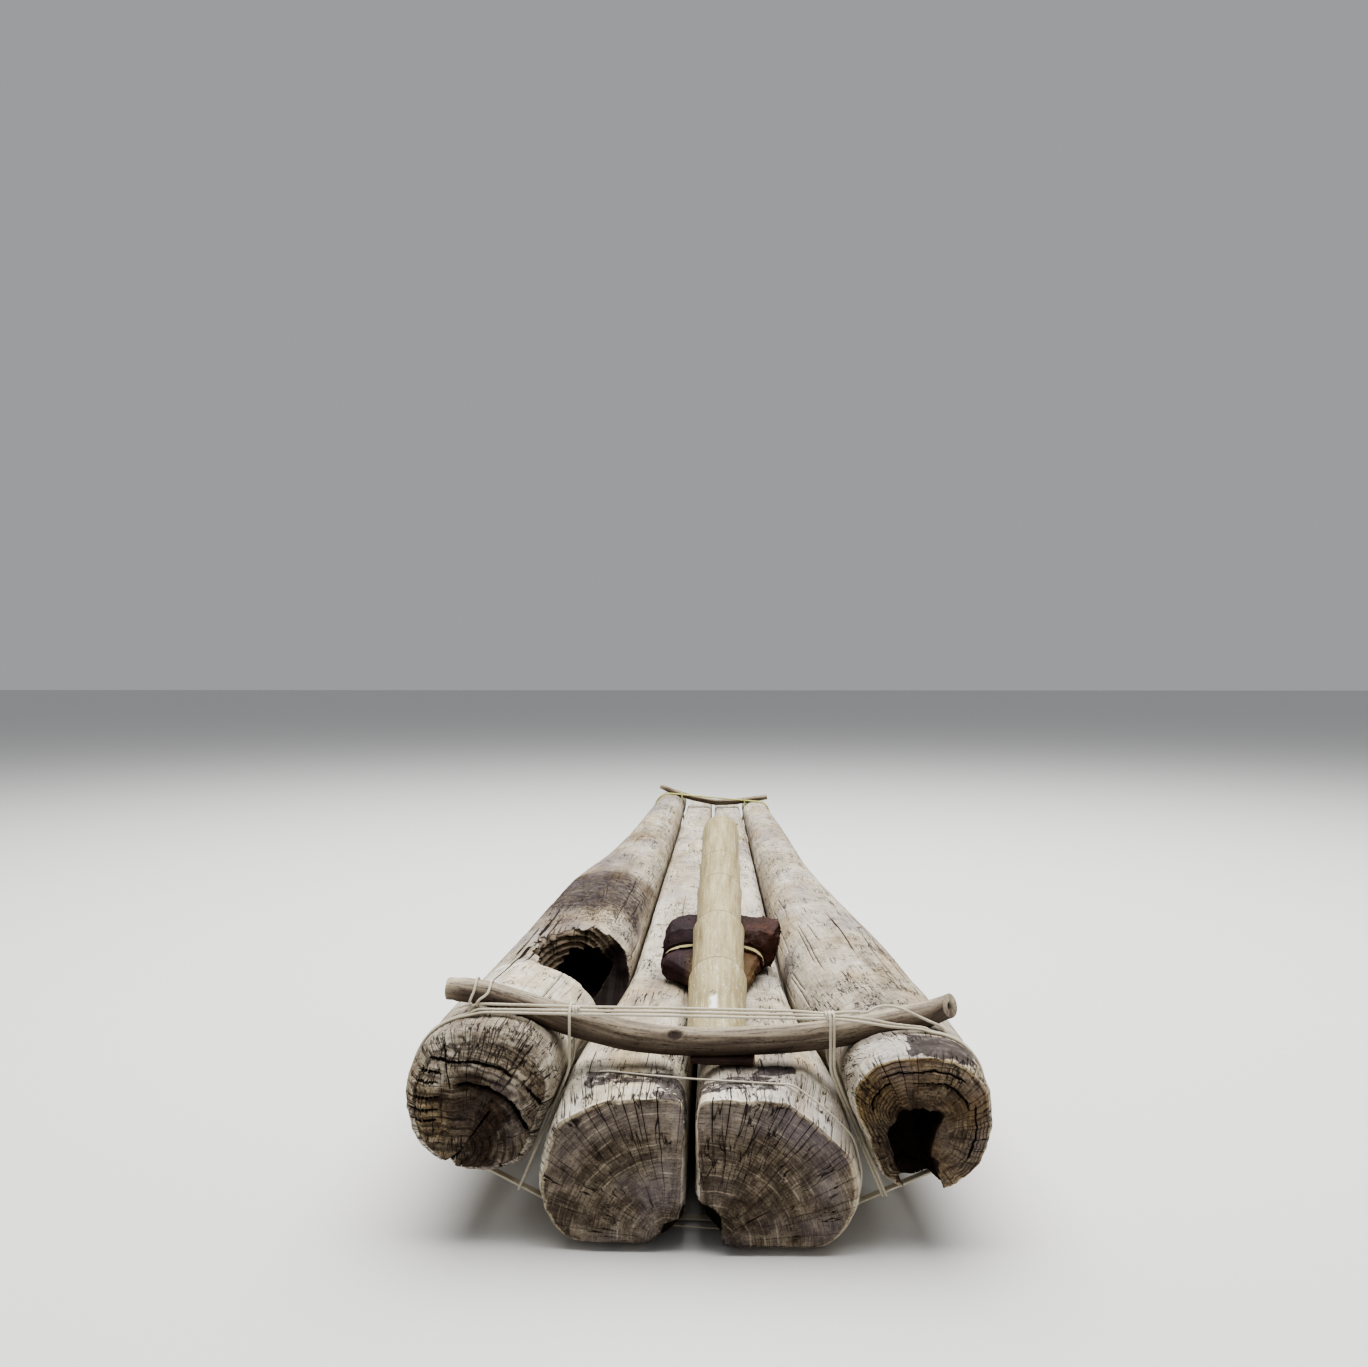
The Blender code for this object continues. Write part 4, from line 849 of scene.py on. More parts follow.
class Value:
    """Output of a shader node, which can be added, multiplied and turned into other values."""

    def __init__(self, look, socket):
        self.look, self.socket = look, socket

    def __add__(self, other):
        return self.look.calc("ADD", self, other)

    def __radd__(self, other):
        return self.look.calc("ADD", other, self)

    def __mul__(self, other):
        return self.look.calc("MULTIPLY", self, other)

    def __rsub__(self, other):
        return self.look.calc("SUBTRACT", other, self)

    def most(self, other):
        """Larger of two values."""
        return self.look.calc("MAXIMUM", self, other)

    def remap(self, low, high, to_low=0.0, to_high=1.0):
        """Eased and clamped change of range."""
        return self.look.put("ShaderNodeMapRange", {"Value": self, "From Min": low, "From Max": high,
                                                    "To Min": to_low, "To Max": to_high},
                             interpolation_type="SMOOTHSTEP")

    def centred(self, share):
        """Value about a half, scaled by a share."""
        return self.look.calc("SUBTRACT", self, 0.5) * share

    def line(self, width):
        """One where the value crosses a half, zero a little way off."""
        gap = self.look.calc("ABSOLUTE", self.look.calc("SUBTRACT", self, 0.5))
        return gap.remap(width * 0.35, width, 1.0, 0.0)

    def turned(self):
        """Part of the value beyond its last whole number."""
        return self.look.calc("FRACT", self)

    def ramp(self, stops):
        """Colour by value through (place, colour) stops."""
        colour = self.look.put("ShaderNodeValToRGB", {0: self})
        elements = colour.socket.node.color_ramp.elements
        while len(elements) < len(stops):
            elements.new(1.0)
        for element, (place, tint) in zip(elements, stops):
            element.position = place
            element.color = (*tint, 1.0)
        return colour

    def mix(self, share, other, kind="MIX"):
        """This colour blended with another one."""
        other = other if isinstance(other, Value) else (*other, 1.0)
        return self.look.put("ShaderNodeMix", {0: share, 6: self, 7: other}, 2, data_type="RGBA",
                             blend_type=kind)


class Look:
    """Material with its node tree and shader."""

    def __init__(self, name):
        self.material = bpy.data.materials.new(name)
        self.material.use_nodes = True
        self.tree = self.material.node_tree
        self.shader = self.tree.nodes["Principled BSDF"]

    def fill(self, sockets, values):
        """Sets inputs to numbers or links them to values."""
        for key, value in values.items():
            if isinstance(value, Value):
                self.tree.links.new(value.socket, sockets[key])
            else:
                sockets[key].default_value = value

    def put(self, kind, inputs, output=0, **settings):
        """Node with its settings and inputs. Gives back one of its outputs."""
        node = self.tree.nodes.new(kind)
        for key, value in settings.items():
            setattr(node, key, value)
        self.fill(node.inputs, inputs)
        return Value(self, node.outputs[output])

    def calc(self, operation, first, second=0.0):
        """One sum."""
        return self.put("ShaderNodeMath", {0: first, 1: second}, operation=operation)

    def read(self, name, output="Fac"):
        """Field kept on the mesh."""
        return self.put("ShaderNodeAttribute", {}, output, attribute_name=name)

    def noise(self, scale, detail=3.0, roughness=0.55, in_space=False):
        """Noise from 0 to 1, in space or along the grain, with one scale or one for each axis."""
        if in_space or isinstance(scale, float):
            vector = self.put("ShaderNodeTexCoord", {}, "Object")
        else:
            vector = self.read("grain", "Vector")
        if not isinstance(scale, float):
            vector = self.put("ShaderNodeVectorMath", {0: vector, 1: scale}, operation="MULTIPLY")
            scale = 1.0
        return self.put("ShaderNodeTexNoise", {"Vector": vector, "Scale": scale, "Detail": detail,
                                               "Roughness": roughness}, "Fac")

    def finish(self, height, distance, strength, **inputs):
        """Sets the shader's inputs and its bumps. Gives back the material."""
        bump = self.put("ShaderNodeBump", {"Height": height, "Distance": distance, "Strength": strength})
        self.fill(self.shader.inputs, {key.replace("_", " "): value for key, value in inputs.items()})
        self.fill(self.shader.inputs, {"Normal": bump})
        return self.material


def driftwood():
    """Bleached bare wood: fibres, hair cracks and stains, growth rings on its ends, rot and painted shade in
    its hollows.
    """
    look = Look("driftwood")
    read, noisy = look.read, look.noise
    end, phase, ring_tone, stain, flake = (read(name) for name in ("end", "ring", "line", "stain", "flake"))
    skin = 1.0 - end
    fibre, layers = noisy((430.0, 10.0, 1.0), 4.0), noisy((26.0, 430.0, 1.0))
    mottle, grit, other = noisy(42.0, 5.0, 0.68), noisy(270.0, 3.0, 0.7), noisy(17.0, 2.0)
    spots = noisy((75.0, 190.0, 75.0), 4.0, 0.65, in_space=True)
    texture = fibre * skin + layers * end

    hair = noisy((50.0, 2.6, 1.0)).line(0.012) * noisy(10.0, 2.0).remap(0.42, 0.60)
    short = noisy((95.0, 17.0, 1.0), 2.0).line(0.026) * (other + flake * 0.20).remap(0.54, 0.64)
    vein = noisy((50.0, 24.0, 50.0), 4.0, in_space=True).line(0.018) * (skin * other.remap(0.44, 0.60))
    check = (phase * 3.0).turned().line(0.14) * end * spots.remap(0.47, 0.60)
    pale_ring = phase.turned().line(0.075) * ring_tone.most(0.0)
    dark_ring = phase.turned().line(0.22) * (ring_tone * -1.0).most(0.0)
    flakes = spots.remap(0.50, 0.60) * flake
    blot = stain + noisy(52.0, 7.0, 0.74).centred(2.2)
    blot = blot.remap(0.47, 0.56, 0.0, 0.92) * stain.remap(0.02, 0.20)
    dirt = (flakes * 0.80).most(check * 0.75)
    dark = (hair.most(short) * 0.90).most(read("crack").remap(0.18, 0.52)).most(dark_ring * 0.75)

    tone = (read("pale") + texture.centred(0.45) + mottle.centred(0.55)
            + noisy((13.0, 2.0, 1.0), 2.0).centred(0.35) + grit.centred(0.48) + pale_ring * 0.30)
    colour = tone.ramp(DRIFTWOOD).mix(read("purple") * 0.62, (0.200, 0.172, 0.200))
    colour = colour.mix(read("ochre"), (0.88, 0.72, 0.46), "MULTIPLY").mix(vein * 0.40, (0.120, 0.105, 0.120))
    # Stain colours, also used for the patches of painted shade and painted shadow on the logs' tops.
    colour = colour.mix(blot, mottle.ramp(DAMP_STAIN_AND_SHADE)).mix(dirt, (0.060, 0.043, 0.034))
    colour = colour.mix(read("rot"), (texture * 0.45 + mottle * 0.40 + grit * 0.15).ramp(DECAY))
    # The last mix is painted shade: near black inside the hollows.
    colour = colour.mix(dark, (0.010, 0.006, 0.005)).mix(read("painted_shade"), (0.008, 0.004, 0.003))
    height = texture * 0.50 + mottle * 0.55 + grit * 0.15 + pale_ring * 0.35 + dark * -0.9 + dirt * -0.35
    return look.finish(height, 0.0018, 0.9, Base_Color=colour, Roughness=fibre.remap(0.3, 0.7, 0.68, 0.92),
                       Specular_IOR_Level=0.14)


def branch():
    """Barkless branch with long soft streaks, a knot, pale scuffed places, and painted light and shade:
    lighter on top, darker underneath.
    """
    look = Look("branch")
    streak, speckle = look.noise((150.0, 6.0, 1.0), 4.0), look.noise(160.0, 4.0, 0.7)
    tone = 0.42 + streak.centred(0.85) + look.noise((45.0, 5.0, 1.0)).centred(1.0) + speckle.centred(0.30)
    # Painted light and shade: the top field makes the upper side lighter and the underside darker.
    tone = tone + look.read("pale") * 0.45 + look.read("top") * 0.30
    check = look.noise((120.0, 9.0, 1.0)).line(0.016) * (1.0 - look.read("end"))
    colour = tone.ramp(BRANCH).mix(check * 0.70, (0.030, 0.020, 0.015))
    colour = colour.mix(look.read("crack") * speckle.remap(0.25, 0.6, 0.75, 0.98), (0.030, 0.019, 0.013))
    return look.finish(streak * 0.8 + speckle * 0.25, 0.0007, 0.8, Base_Color=colour,
                       Roughness=streak.remap(0.3, 0.7, 0.55, 0.75), Specular_IOR_Level=0.22)


def bamboo():
    """Dry bamboo skin: faint streaks, painted shadow lines at the joints, pale scratches, scuffs and a white
    scar.
    """
    look = Look("bamboo")
    read, noisy = look.read, look.noise
    streak, stain = noisy((190.0, 5.0, 190.0), 4.0), noisy((55.0, 7.0, 55.0), 4.0)
    scratch, flake = noisy((330.0, 28.0, 330.0), 3.0, 0.7), noisy((190.0, 90.0, 190.0), 4.0, 0.7)
    worn, lines = read("top"), noisy((40.0, 70.0, 40.0)).line(0.010) * stain.remap(0.50, 0.62)
    colour = (0.52 + streak.centred(0.95) + stain.centred(1.15)).ramp(BAMBOO)
    for share, tint in (
            (scratch.remap(0.57, 0.67, 0.0, 0.65) * worn, (0.80, 0.77, 0.64)),
            (flake.remap(0.62, 0.67, 0.0, 0.80) * worn, (0.84, 0.83, 0.76)),
            (lines * 0.55, (0.140, 0.092, 0.045)),
            (read("end") * 0.55, (0.36, 0.27, 0.16)),
            # Painted shadow: a dark line at each joint's lip, carried in the crack field.
            (read("crack") * scratch.remap(0.30, 0.55, 0.75, 1.00), (0.070, 0.043, 0.022)),
            (read("pale") * 0.97, (0.90, 0.90, 0.87)),
            (read("ochre") * flake.remap(0.46, 0.54), (0.060, 0.036, 0.022))):
        colour = colour.mix(share, tint)
    return look.finish(streak * 0.5 + flake * 0.5 + lines * -0.8, 0.0006, 0.8, Base_Color=colour,
                       Roughness=stain.remap(0.3, 0.7, 0.38, 0.60), Specular_IOR_Level=0.35)


def cordage(name, dark, light, sheen):
    """Twisted cord whose fibres follow the lay of its strands, with painted shade in the grooves between
    them.
    """
    look = Look(name)
    fibre = look.noise((2600.0, 90.0, 1.0))
    tone = 0.55 + fibre.centred(0.9) + look.noise(16.0).centred(0.9)
    # Painted shade: darker in the grooves between the strands.
    groove = look.read("crack").remap(0.55, 1.0, 0.0, 0.65)
    colour = tone.ramp(((0.0, dark), (1.0, light))).mix(groove, tuple(value * 0.35 for value in dark))
    return look.finish(fibre, 0.0004, 0.8, Base_Color=colour, Roughness=0.80, Sheen_Weight=sheen)


def stone():
    """Damp stone: smooth dark purple on one side, rough red-brown on the other, ochre underneath, painted
    glints on the rough side.
    """
    look = Look("anchor_stone")
    grit, right = look.noise(210.0, 4.0, 0.7), look.read("right")
    tone = 0.45 + look.noise(22.0, 4.0).centred(1.3) + grit.centred(0.5)
    colour = tone.ramp(PURPLE_STONE).mix(right, tone.ramp(RED_STONE))
    colour = colour.mix(look.read("ochre") * 0.8, (0.135, 0.080, 0.030))
    # Painted glints: pale flecks on the rough right side.
    colour = colour.mix(grit.remap(0.60, 0.72) * right * 0.45, (0.42, 0.33, 0.28))
    return look.finish(grit, 0.0012, 0.9, Base_Color=colour, Roughness=grit.remap(0.35, 0.65, 0.42, 0.75),
                       Specular_IOR_Level=0.16)


def wet_stick():
    """Wet dark red-brown stick with a pale cut end."""
    look = Look("dark_stick")
    streak = look.noise((300.0, 22.0, 1.0), 4.0)
    colour = streak.ramp(WET_STICK).mix(look.read("end") * 0.9, (0.36, 0.26, 0.17))
    return look.finish(streak, 0.0010, 0.9, Base_Color=colour, Roughness=0.55)


def carve(piece, *cutters):
    """Takes rough closed shapes out of a piece and deletes them."""
    for cutter in cutters:
        change = piece.modifiers.new(cutter.name, "BOOLEAN")
        change.operation = "DIFFERENCE"
        change.solver = "MANIFOLD"
        change.object = cutter
    carved = bpy.data.meshes.new_from_object(piece.evaluated_get(bpy.context.evaluated_depsgraph_get()))
    piece.modifiers.clear()
    piece.data = carved
    for cutter in cutters:
        bpy.data.objects.remove(cutter, do_unlink=True)


def hollow_skin(name, points, material, painted_shade, rot=1.0, pale=0.3, crack=0.0):
    """Closed cutting shape whose surface is decayed wood, with painted shade towards a given depth."""
    fields = {"rot": rot, "pale": pale, "end": 0.5, "painted_shade": painted_shade, "crack": crack, "ochre": 0.35,
              "grain": points[..., [0, 2, 1]] * 0.2}
    return close_tube(name, points, material, fields)


def lump(name, middle, radii, size, seed, material, rows, around, upright, layers, shade_top):
    """Rough ellipsoid as a cutting shape, its left side stepped where it meets layers of wood, with painted
    shade low on its wall and painted light and shade on the layers' shelves.
    """
    latitude = np.pi * (np.arange(rows) + 0.5) / rows
    longitude = 2 * np.pi * np.arange(around) / around
    level = np.sin(latitude)[:, None]
    shape = np.stack([level * np.cos(longitude), level * np.sin(longitude),
                      np.broadcast_to(np.cos(latitude)[:, None], (rows, around))], -1)
    if not upright:
        shape = np.stack([shape[..., 0], shape[..., 2], -shape[..., 1]], -1)
    points = np.array([middle[0], STERN_Y + middle[1], middle[2]]) + shape * np.asarray(radii)
    rough = wave(points, (11.0, 6.0, 14.0), seed) + 0.34 * wave(points, (30.0, 10.0, 42.0), seed + 3)
    points = points + shape * (size * 2.0 * rough)[..., None]
    lit, part = np.zeros((rows, around)), np.full((rows, around), 0.5)
    if layers:
        middle_x, middle_z, thickness, amount = layers
        layer = np.hypot(points[..., 0] - middle_x, points[..., 2] - middle_z)
        layer = (layer + 0.010 * wave(points, (9.0, 5.0, 9.0), seed + 6)) / thickness
        lit = smooth_step(-shape[..., 0] + 0.35 * shape[..., 1], 0.10, 0.70)
        part = layer - np.floor(layer)
        points = points + shape * (amount * lit * (part - 0.5))[..., None]
    # Painted shade: the wall darkens below shade_top, which lies lower on the lit left side; the decay grows
    # downwards as well.
    height = points[..., 2] + 0.060 * lit
    painted_shade = 0.96 * smooth_step(height, shade_top, shade_top - 0.040)
    rot = 0.30 + 0.70 * smooth_step(height, shade_top + 0.015, shade_top - 0.025)
    # Painted light and shade on the shelves: each layer grows paler up to its edge, and the crack field puts
    # a dark line just past it.
    pale = 0.48 + 0.36 * lit * (part - 0.5)
    crack = lit * smooth_step(part, 0.16, 0.03)
    return hollow_skin(name, points[::-1], material, painted_shade[::-1], rot[::-1], pale[::-1], crack[::-1])


def tunnel(name, outline, depth, seed, material, rows, around, size):
    """Rough tunnel into the stern end through an outline of (x, z) points, closed at both ends."""
    corners = np.array([*outline, outline[0]])
    if (corners[:-1, 0] * corners[1:, 1] - corners[1:, 0] * corners[:-1, 1]).sum() > 0:
        corners = corners[::-1]
    lengths = np.concatenate([[0], np.cumsum(np.hypot(*np.diff(corners, axis=0).T))])
    places = np.linspace(0, lengths[-1], around, endpoint=False)
    ring = smooth_round(np.stack([np.interp(places, lengths, corners[:, axis]) for axis in (0, 1)]), 2.0).T
    middle = ring.mean(0)
    along = np.linspace(0.0, 1.0, rows)
    shrink = np.sqrt(np.clip(1.0 - np.clip(along - 0.55, 0, 1) ** 2 / 0.45 ** 2 * 0.96, 0.01, 1))
    y = np.linspace(STERN_Y + CUT_START, STERN_Y + depth, rows)
    spread = ring - middle
    points = np.zeros((rows, around, 3))
    points[..., ::2] = middle + shrink[:, None, None] * spread
    points[..., 1] = y[:, None]
    away = spread / np.linalg.norm(spread, axis=1)[:, None]
    points[..., ::2] += away * (wave(points, (38.0, 22.0, 38.0), seed, 4) * size)[..., None]
    # Painted shade: the walls darken from 12 mm to 40 mm into the end.
    painted_shade = 0.75 * smooth_step(y, STERN_Y + 0.012, STERN_Y + 0.040)[:, None]
    return hollow_skin(name, points, material, painted_shade)


def wrapped(shapes, radius):
    """Taut loop, as points in a plane, round a list of point sets, its centre line a radius outside them."""
    turns = np.linspace(0, 2 * np.pi, 24, endpoint=False)
    circle = np.stack([np.cos(turns), np.sin(turns)], -1) * radius
    spread = (np.vstack(shapes)[:, None, :] + circle[None]).reshape(-1, 2)
    return spread[convex_hull_2d([tuple(p) for p in spread])]


def resample(points, spacing, closed):
    """Points at an even spacing along a path."""
    points = np.asarray(points, float)
    if closed:
        points = np.vstack([points, points[:1]])
    lengths = np.concatenate([[0.0], np.cumsum(np.linalg.norm(np.diff(points, axis=0), axis=1))])
    count = max(int(lengths[-1] / spacing), 6)
    places = np.linspace(0.0, lengths[-1], count + (0 if closed else 1), endpoint=not closed)
    return np.stack([np.interp(places, lengths, values) for values in points.T], -1)


def relaxed(points, closed, passes=6):
    """Path with its corners eased."""
    for _ in range(passes):
        eased = 0.5 * points + 0.5 * ((np.roll(points, 1, axis=0) + np.roll(points, -1, axis=0)) / 2)
        if not closed:
            eased[[0, -1]] = points[[0, -1]]
        points = eased
    return points


def square_to(vector, way):
    """Unit vector square to a way, as near as it gets to a given vector."""
    vector = vector - way * vector.dot(way)
    return vector / np.linalg.norm(vector)


def frames_along(points, closed):
    """Two unit vectors square to a path at each of its points, turning as little as they can."""
    if closed:
        along = np.roll(points, -1, axis=0) - np.roll(points, 1, axis=0)
    else:
        along = np.gradient(points, axis=0)
    along /= np.linalg.norm(along, axis=1)[:, None]
    first = np.zeros_like(points)
    guide = np.cross(along[0], (0.31, 0.57, 0.76))
    for i, way in enumerate(along):
        first[i] = guide = square_to(guide, way)
    return first, np.cross(along, first)


def cord(name, points, radius, material, closed=True, spacing=0.0040, lay=6.5):
    """Three-strand cord along a path. The lay is the length of a strand's turn in diameters."""
    points = relaxed(resample(points, spacing, closed), closed)
    first, second = frames_along(points, closed)
    steps = np.linalg.norm(np.diff(points, axis=0, append=points[:1] if closed else points[-1:]), axis=1)
    travelled = np.concatenate([[0.0], np.cumsum(steps)])[:len(points), None]
    total = steps.sum()
    turns = max(round(total / (2 * radius * lay)), 1)
    seam = 0.0
    if closed:
        way = points[0] - points[-1]
        way /= np.linalg.norm(way)
        last = square_to(first[-1], way)
        seam = math.atan2(np.cross(first[0], last).dot(way), first[0].dot(last))
    twist = (2 * np.pi * turns + seam) * travelled / total
    angle = 2 * np.pi * np.arange(CORD_SIDES) / CORD_SIDES + np.zeros((len(points), 1))
    lobes = np.abs(np.cos(1.5 * (angle - twist)))
    reach = radius * (0.80 + 0.20 * lobes ** 0.6)
    angle = angle - seam * (travelled / total)
    grid = points[:, None, :] + reach[..., None] * (np.cos(angle)[..., None] * first[:, None, :]
                                                    + np.sin(angle)[..., None] * second[:, None, :])
    grain = np.stack([(angle - twist) * radius, np.broadcast_to(travelled, angle.shape),
                      np.full(angle.shape, radius)], -1)
    # The crack field marks the grooves between the strands, which the cord materials darken as painted shade.
    fields = {"grain": grain, "crack": 1.0 - lobes}
    if not closed:
        return close_tube(name, grid, material, fields, flip=True)
    faces = tube_faces(len(points) + 1, CORD_SIDES) % (len(points) * CORD_SIDES)
    return add_object(name, grid.reshape(-1, 3), [faces[:, ::-1]], material, fields)


def joined(name, pieces):
    """One object from several."""
    with bpy.context.temp_override(active_object=pieces[0], selected_editable_objects=pieces,
                                   selected_objects=pieces, object=pieces[0]):
        bpy.ops.object.join()
    pieces[0].name = name
    return pieces[0]


def outline_at(name, station):
    """Outline of a finished log near a station, as (x, z) points."""
    skin = SKINS[name]
    return skin[int(np.argmin(np.abs(skin[:, 0, 1] - STERN_Y - station)))][:, ::2]


def upright_path(loop, station):
    """Path from a loop of (x, z) points at a station."""
    return np.stack([loop[:, 0], np.full(len(loop), STERN_Y + station), loop[:, 1]], -1)


def hoop_path(station, radius, run=()):
    """Taut path round all four logs, with its free run over the top replaced by the given points."""
    loop = wrapped([outline_at(row[0], station) for row in LOGS], radius + CLEARANCE)
    if run:
        run = np.array(run)
        loop = loop[~((loop[:, 1] > DECK_Z) & (loop[:, 0] > run[0, 0]) & (loop[:, 0] < run[-1, 0]))]
        start = int(np.argmax(np.where(loop[:, 1] > DECK_Z, loop[:, 0] - 10 * (loop[:, 0] > run[0, 0]), -99)))
        ordered = np.roll(loop, -start, axis=0)
        if ordered[1, 0] > ordered[0, 0] and ordered[1, 1] > DECK_Z:
            ordered = np.roll(ordered[::-1], 1, axis=0)
        loop = np.vstack([ordered, run[::-1]])
    return upright_path(loop, station)


def beam_line(node):
    """Centre line and radius of a crossbeam, felt out from above and below."""
    tree, vertices = node_tree_of(node)
    low, high = vertices.min(0), vertices.max(0)
    y = (low[1] + high[1]) / 2
    xs = np.linspace(low[0] + BEAM_END_FELT, high[0] - BEAM_END_FELT, 116)
    tops, bottoms = (np.array([tree.ray_cast(Vector((x, y, start)), Vector((0, 0, way)))[0].z for x in xs])
                     for start, way in ((1.0, -1), (0.0, 1)))
    middle = (tops + bottoms) / 2
    radius = (tops - bottoms) / 2 * np.cos(np.arctan(np.gradient(middle, xs)))
    radius = radius / math.cos(math.pi / BEAM_SIDES)
    kernel = np.hanning(13) / np.hanning(13).sum()
    for values in (middle, radius):
        padded = np.concatenate([2 * values[0] - values[6:0:-1], values, 2 * values[-1] - values[-2:-8:-1]])
        values[:] = np.convolve(padded, kernel, "valid")
    slopes = np.gradient(middle, xs)[[0, -1]]
    ends = np.array([low[0], high[0]]) + (1, -1) * radius[[0, -1]] * np.abs(np.sin(np.arctan(slopes)))
    beyond = middle[[0, -1]] + slopes * (ends - xs[[0, -1]])
    return (np.concatenate([ends[:1], xs, ends[1:]]), y, np.concatenate([beyond[:1], middle, beyond[1:]]),
            np.concatenate([radius[:1], radius, radius[-1:]]))


def build_beam(node, material, seed, knot=None, knobbly=0.0, skew=0.0):
    """Barkless branch with slight bumps, a knot and its own two ends."""
    xs, y, middle, radius = beam_line(node)
    places = np.concatenate([xs[:1], np.linspace(xs[0] + BEAM_RIM, xs[-1] - BEAM_RIM, BEAM_ROWS), xs[-1:]])
    rows, caps = len(places), len(CAP_SHARES)
    z, r = np.interp(places, xs, middle), np.interp(places, xs, radius)
    angles = 2 * np.pi * np.arange(BEAM_AROUND) / BEAM_AROUND
    slope = np.arctan(np.gradient(z, places))[:, None]
    unit = np.stack([-np.sin(slope) * np.sin(angles), np.broadcast_to(np.cos(angles), (rows, BEAM_AROUND)),
                     np.cos(slope) * np.sin(angles)], -1)
    rest = np.stack([places, np.full(rows, y), z], -1)[:, None, :] + unit * r[:, None, None]
    bumps = 0.0022 * (fractal(rest, (7.0, 26.0, 26.0), seed) - 0.62)
    bumps += 0.0007 * wave(rest, (20.0, 160.0, 160.0), seed + 1, 2)
    ends = fading(np.minimum(places - places[0], places[-1] - places), 0.0035).clip(0, 1)
    left = fading(places - places[0], 0.035)
    bumps -= (np.where(places < 0, 0.0018, 0.0003) * ends ** 2)[:, None]
    bumps += knobbly * (left[:, None] * (fractal(rest, 60.0, seed + 2) - 0.55))
    mark = np.zeros(bumps.shape)
    if knot:
        away = np.sqrt(((rest - np.array(knot)) ** 2 * (0.62, 1.0, 1.0)).sum(-1)) / BEAM_KNOT_RADIUS
        away = away + 0.35 * wave(rest, 90.0, seed + 3, 2)
        mark = smooth_step(away, 1.05, 0.85)
        bumps += 0.0028 * np.exp(-((away - 1.1) / 0.35) ** 2) - 0.0016 * mark
    skin = rest + unit * bumps[..., None]
    parts = [skin]
    for row, side, dome, hole in ((0, -1, 0.0030, 0.0), (-1, 1, 0.0008, 0.008)):
        hub = skin[row].mean(0)
        cap = hub + CAP_SHARES[:, None, None] * (skin[row] - hub)
        cap[..., 0] += side * dome * (1 - CAP_SHARES[:, None] ** 2)
        cap[..., 0] -= hole * smooth_step(CAP_SHARES, 0.38, 0.20)[:, None]
        cap[..., 0] += side * 0.0016 * wave(cap, 150.0, seed + 4, 2)
        parts = [cap, *parts] if side < 0 else [*parts, cap[::-1]]
    grid = np.concatenate(parts)
    near_cut = np.clip((grid[..., 0] - places[-1]) / 0.055 + 1.0, 0.0, 1.0)
    grid[..., 0] -= skew * near_cut * np.clip(r[-1] - (grid[..., 1] - y), 0.0, None)
    around = np.broadcast_to(angles, grid.shape[:2])
    pith = np.concatenate([np.zeros(caps + rows), smooth_step(CAP_SHARES, 0.40, 0.24)[::-1]])[:, None]
    # The top field runs from 1 on the upper side to -1 underneath; the branch material paints light and shade
    # with it.
    fields = {"grain": np.stack([around * 0.025, grid[..., 0], np.full(around.shape, float(seed))], -1),
              "crack": np.maximum(np.pad(mark, ((caps, caps), (0, 0))), pith),
              "pale": np.concatenate([np.full(caps, 0.9), 0.9 * left, np.full(caps, 0.6)])[:, None],
              "end": np.repeat((0.0, 1.0), (caps + rows, caps))[:, None], "top": np.sin(around)}
    return close_tube(node + "_branch", grid, material, fields, flip=True)


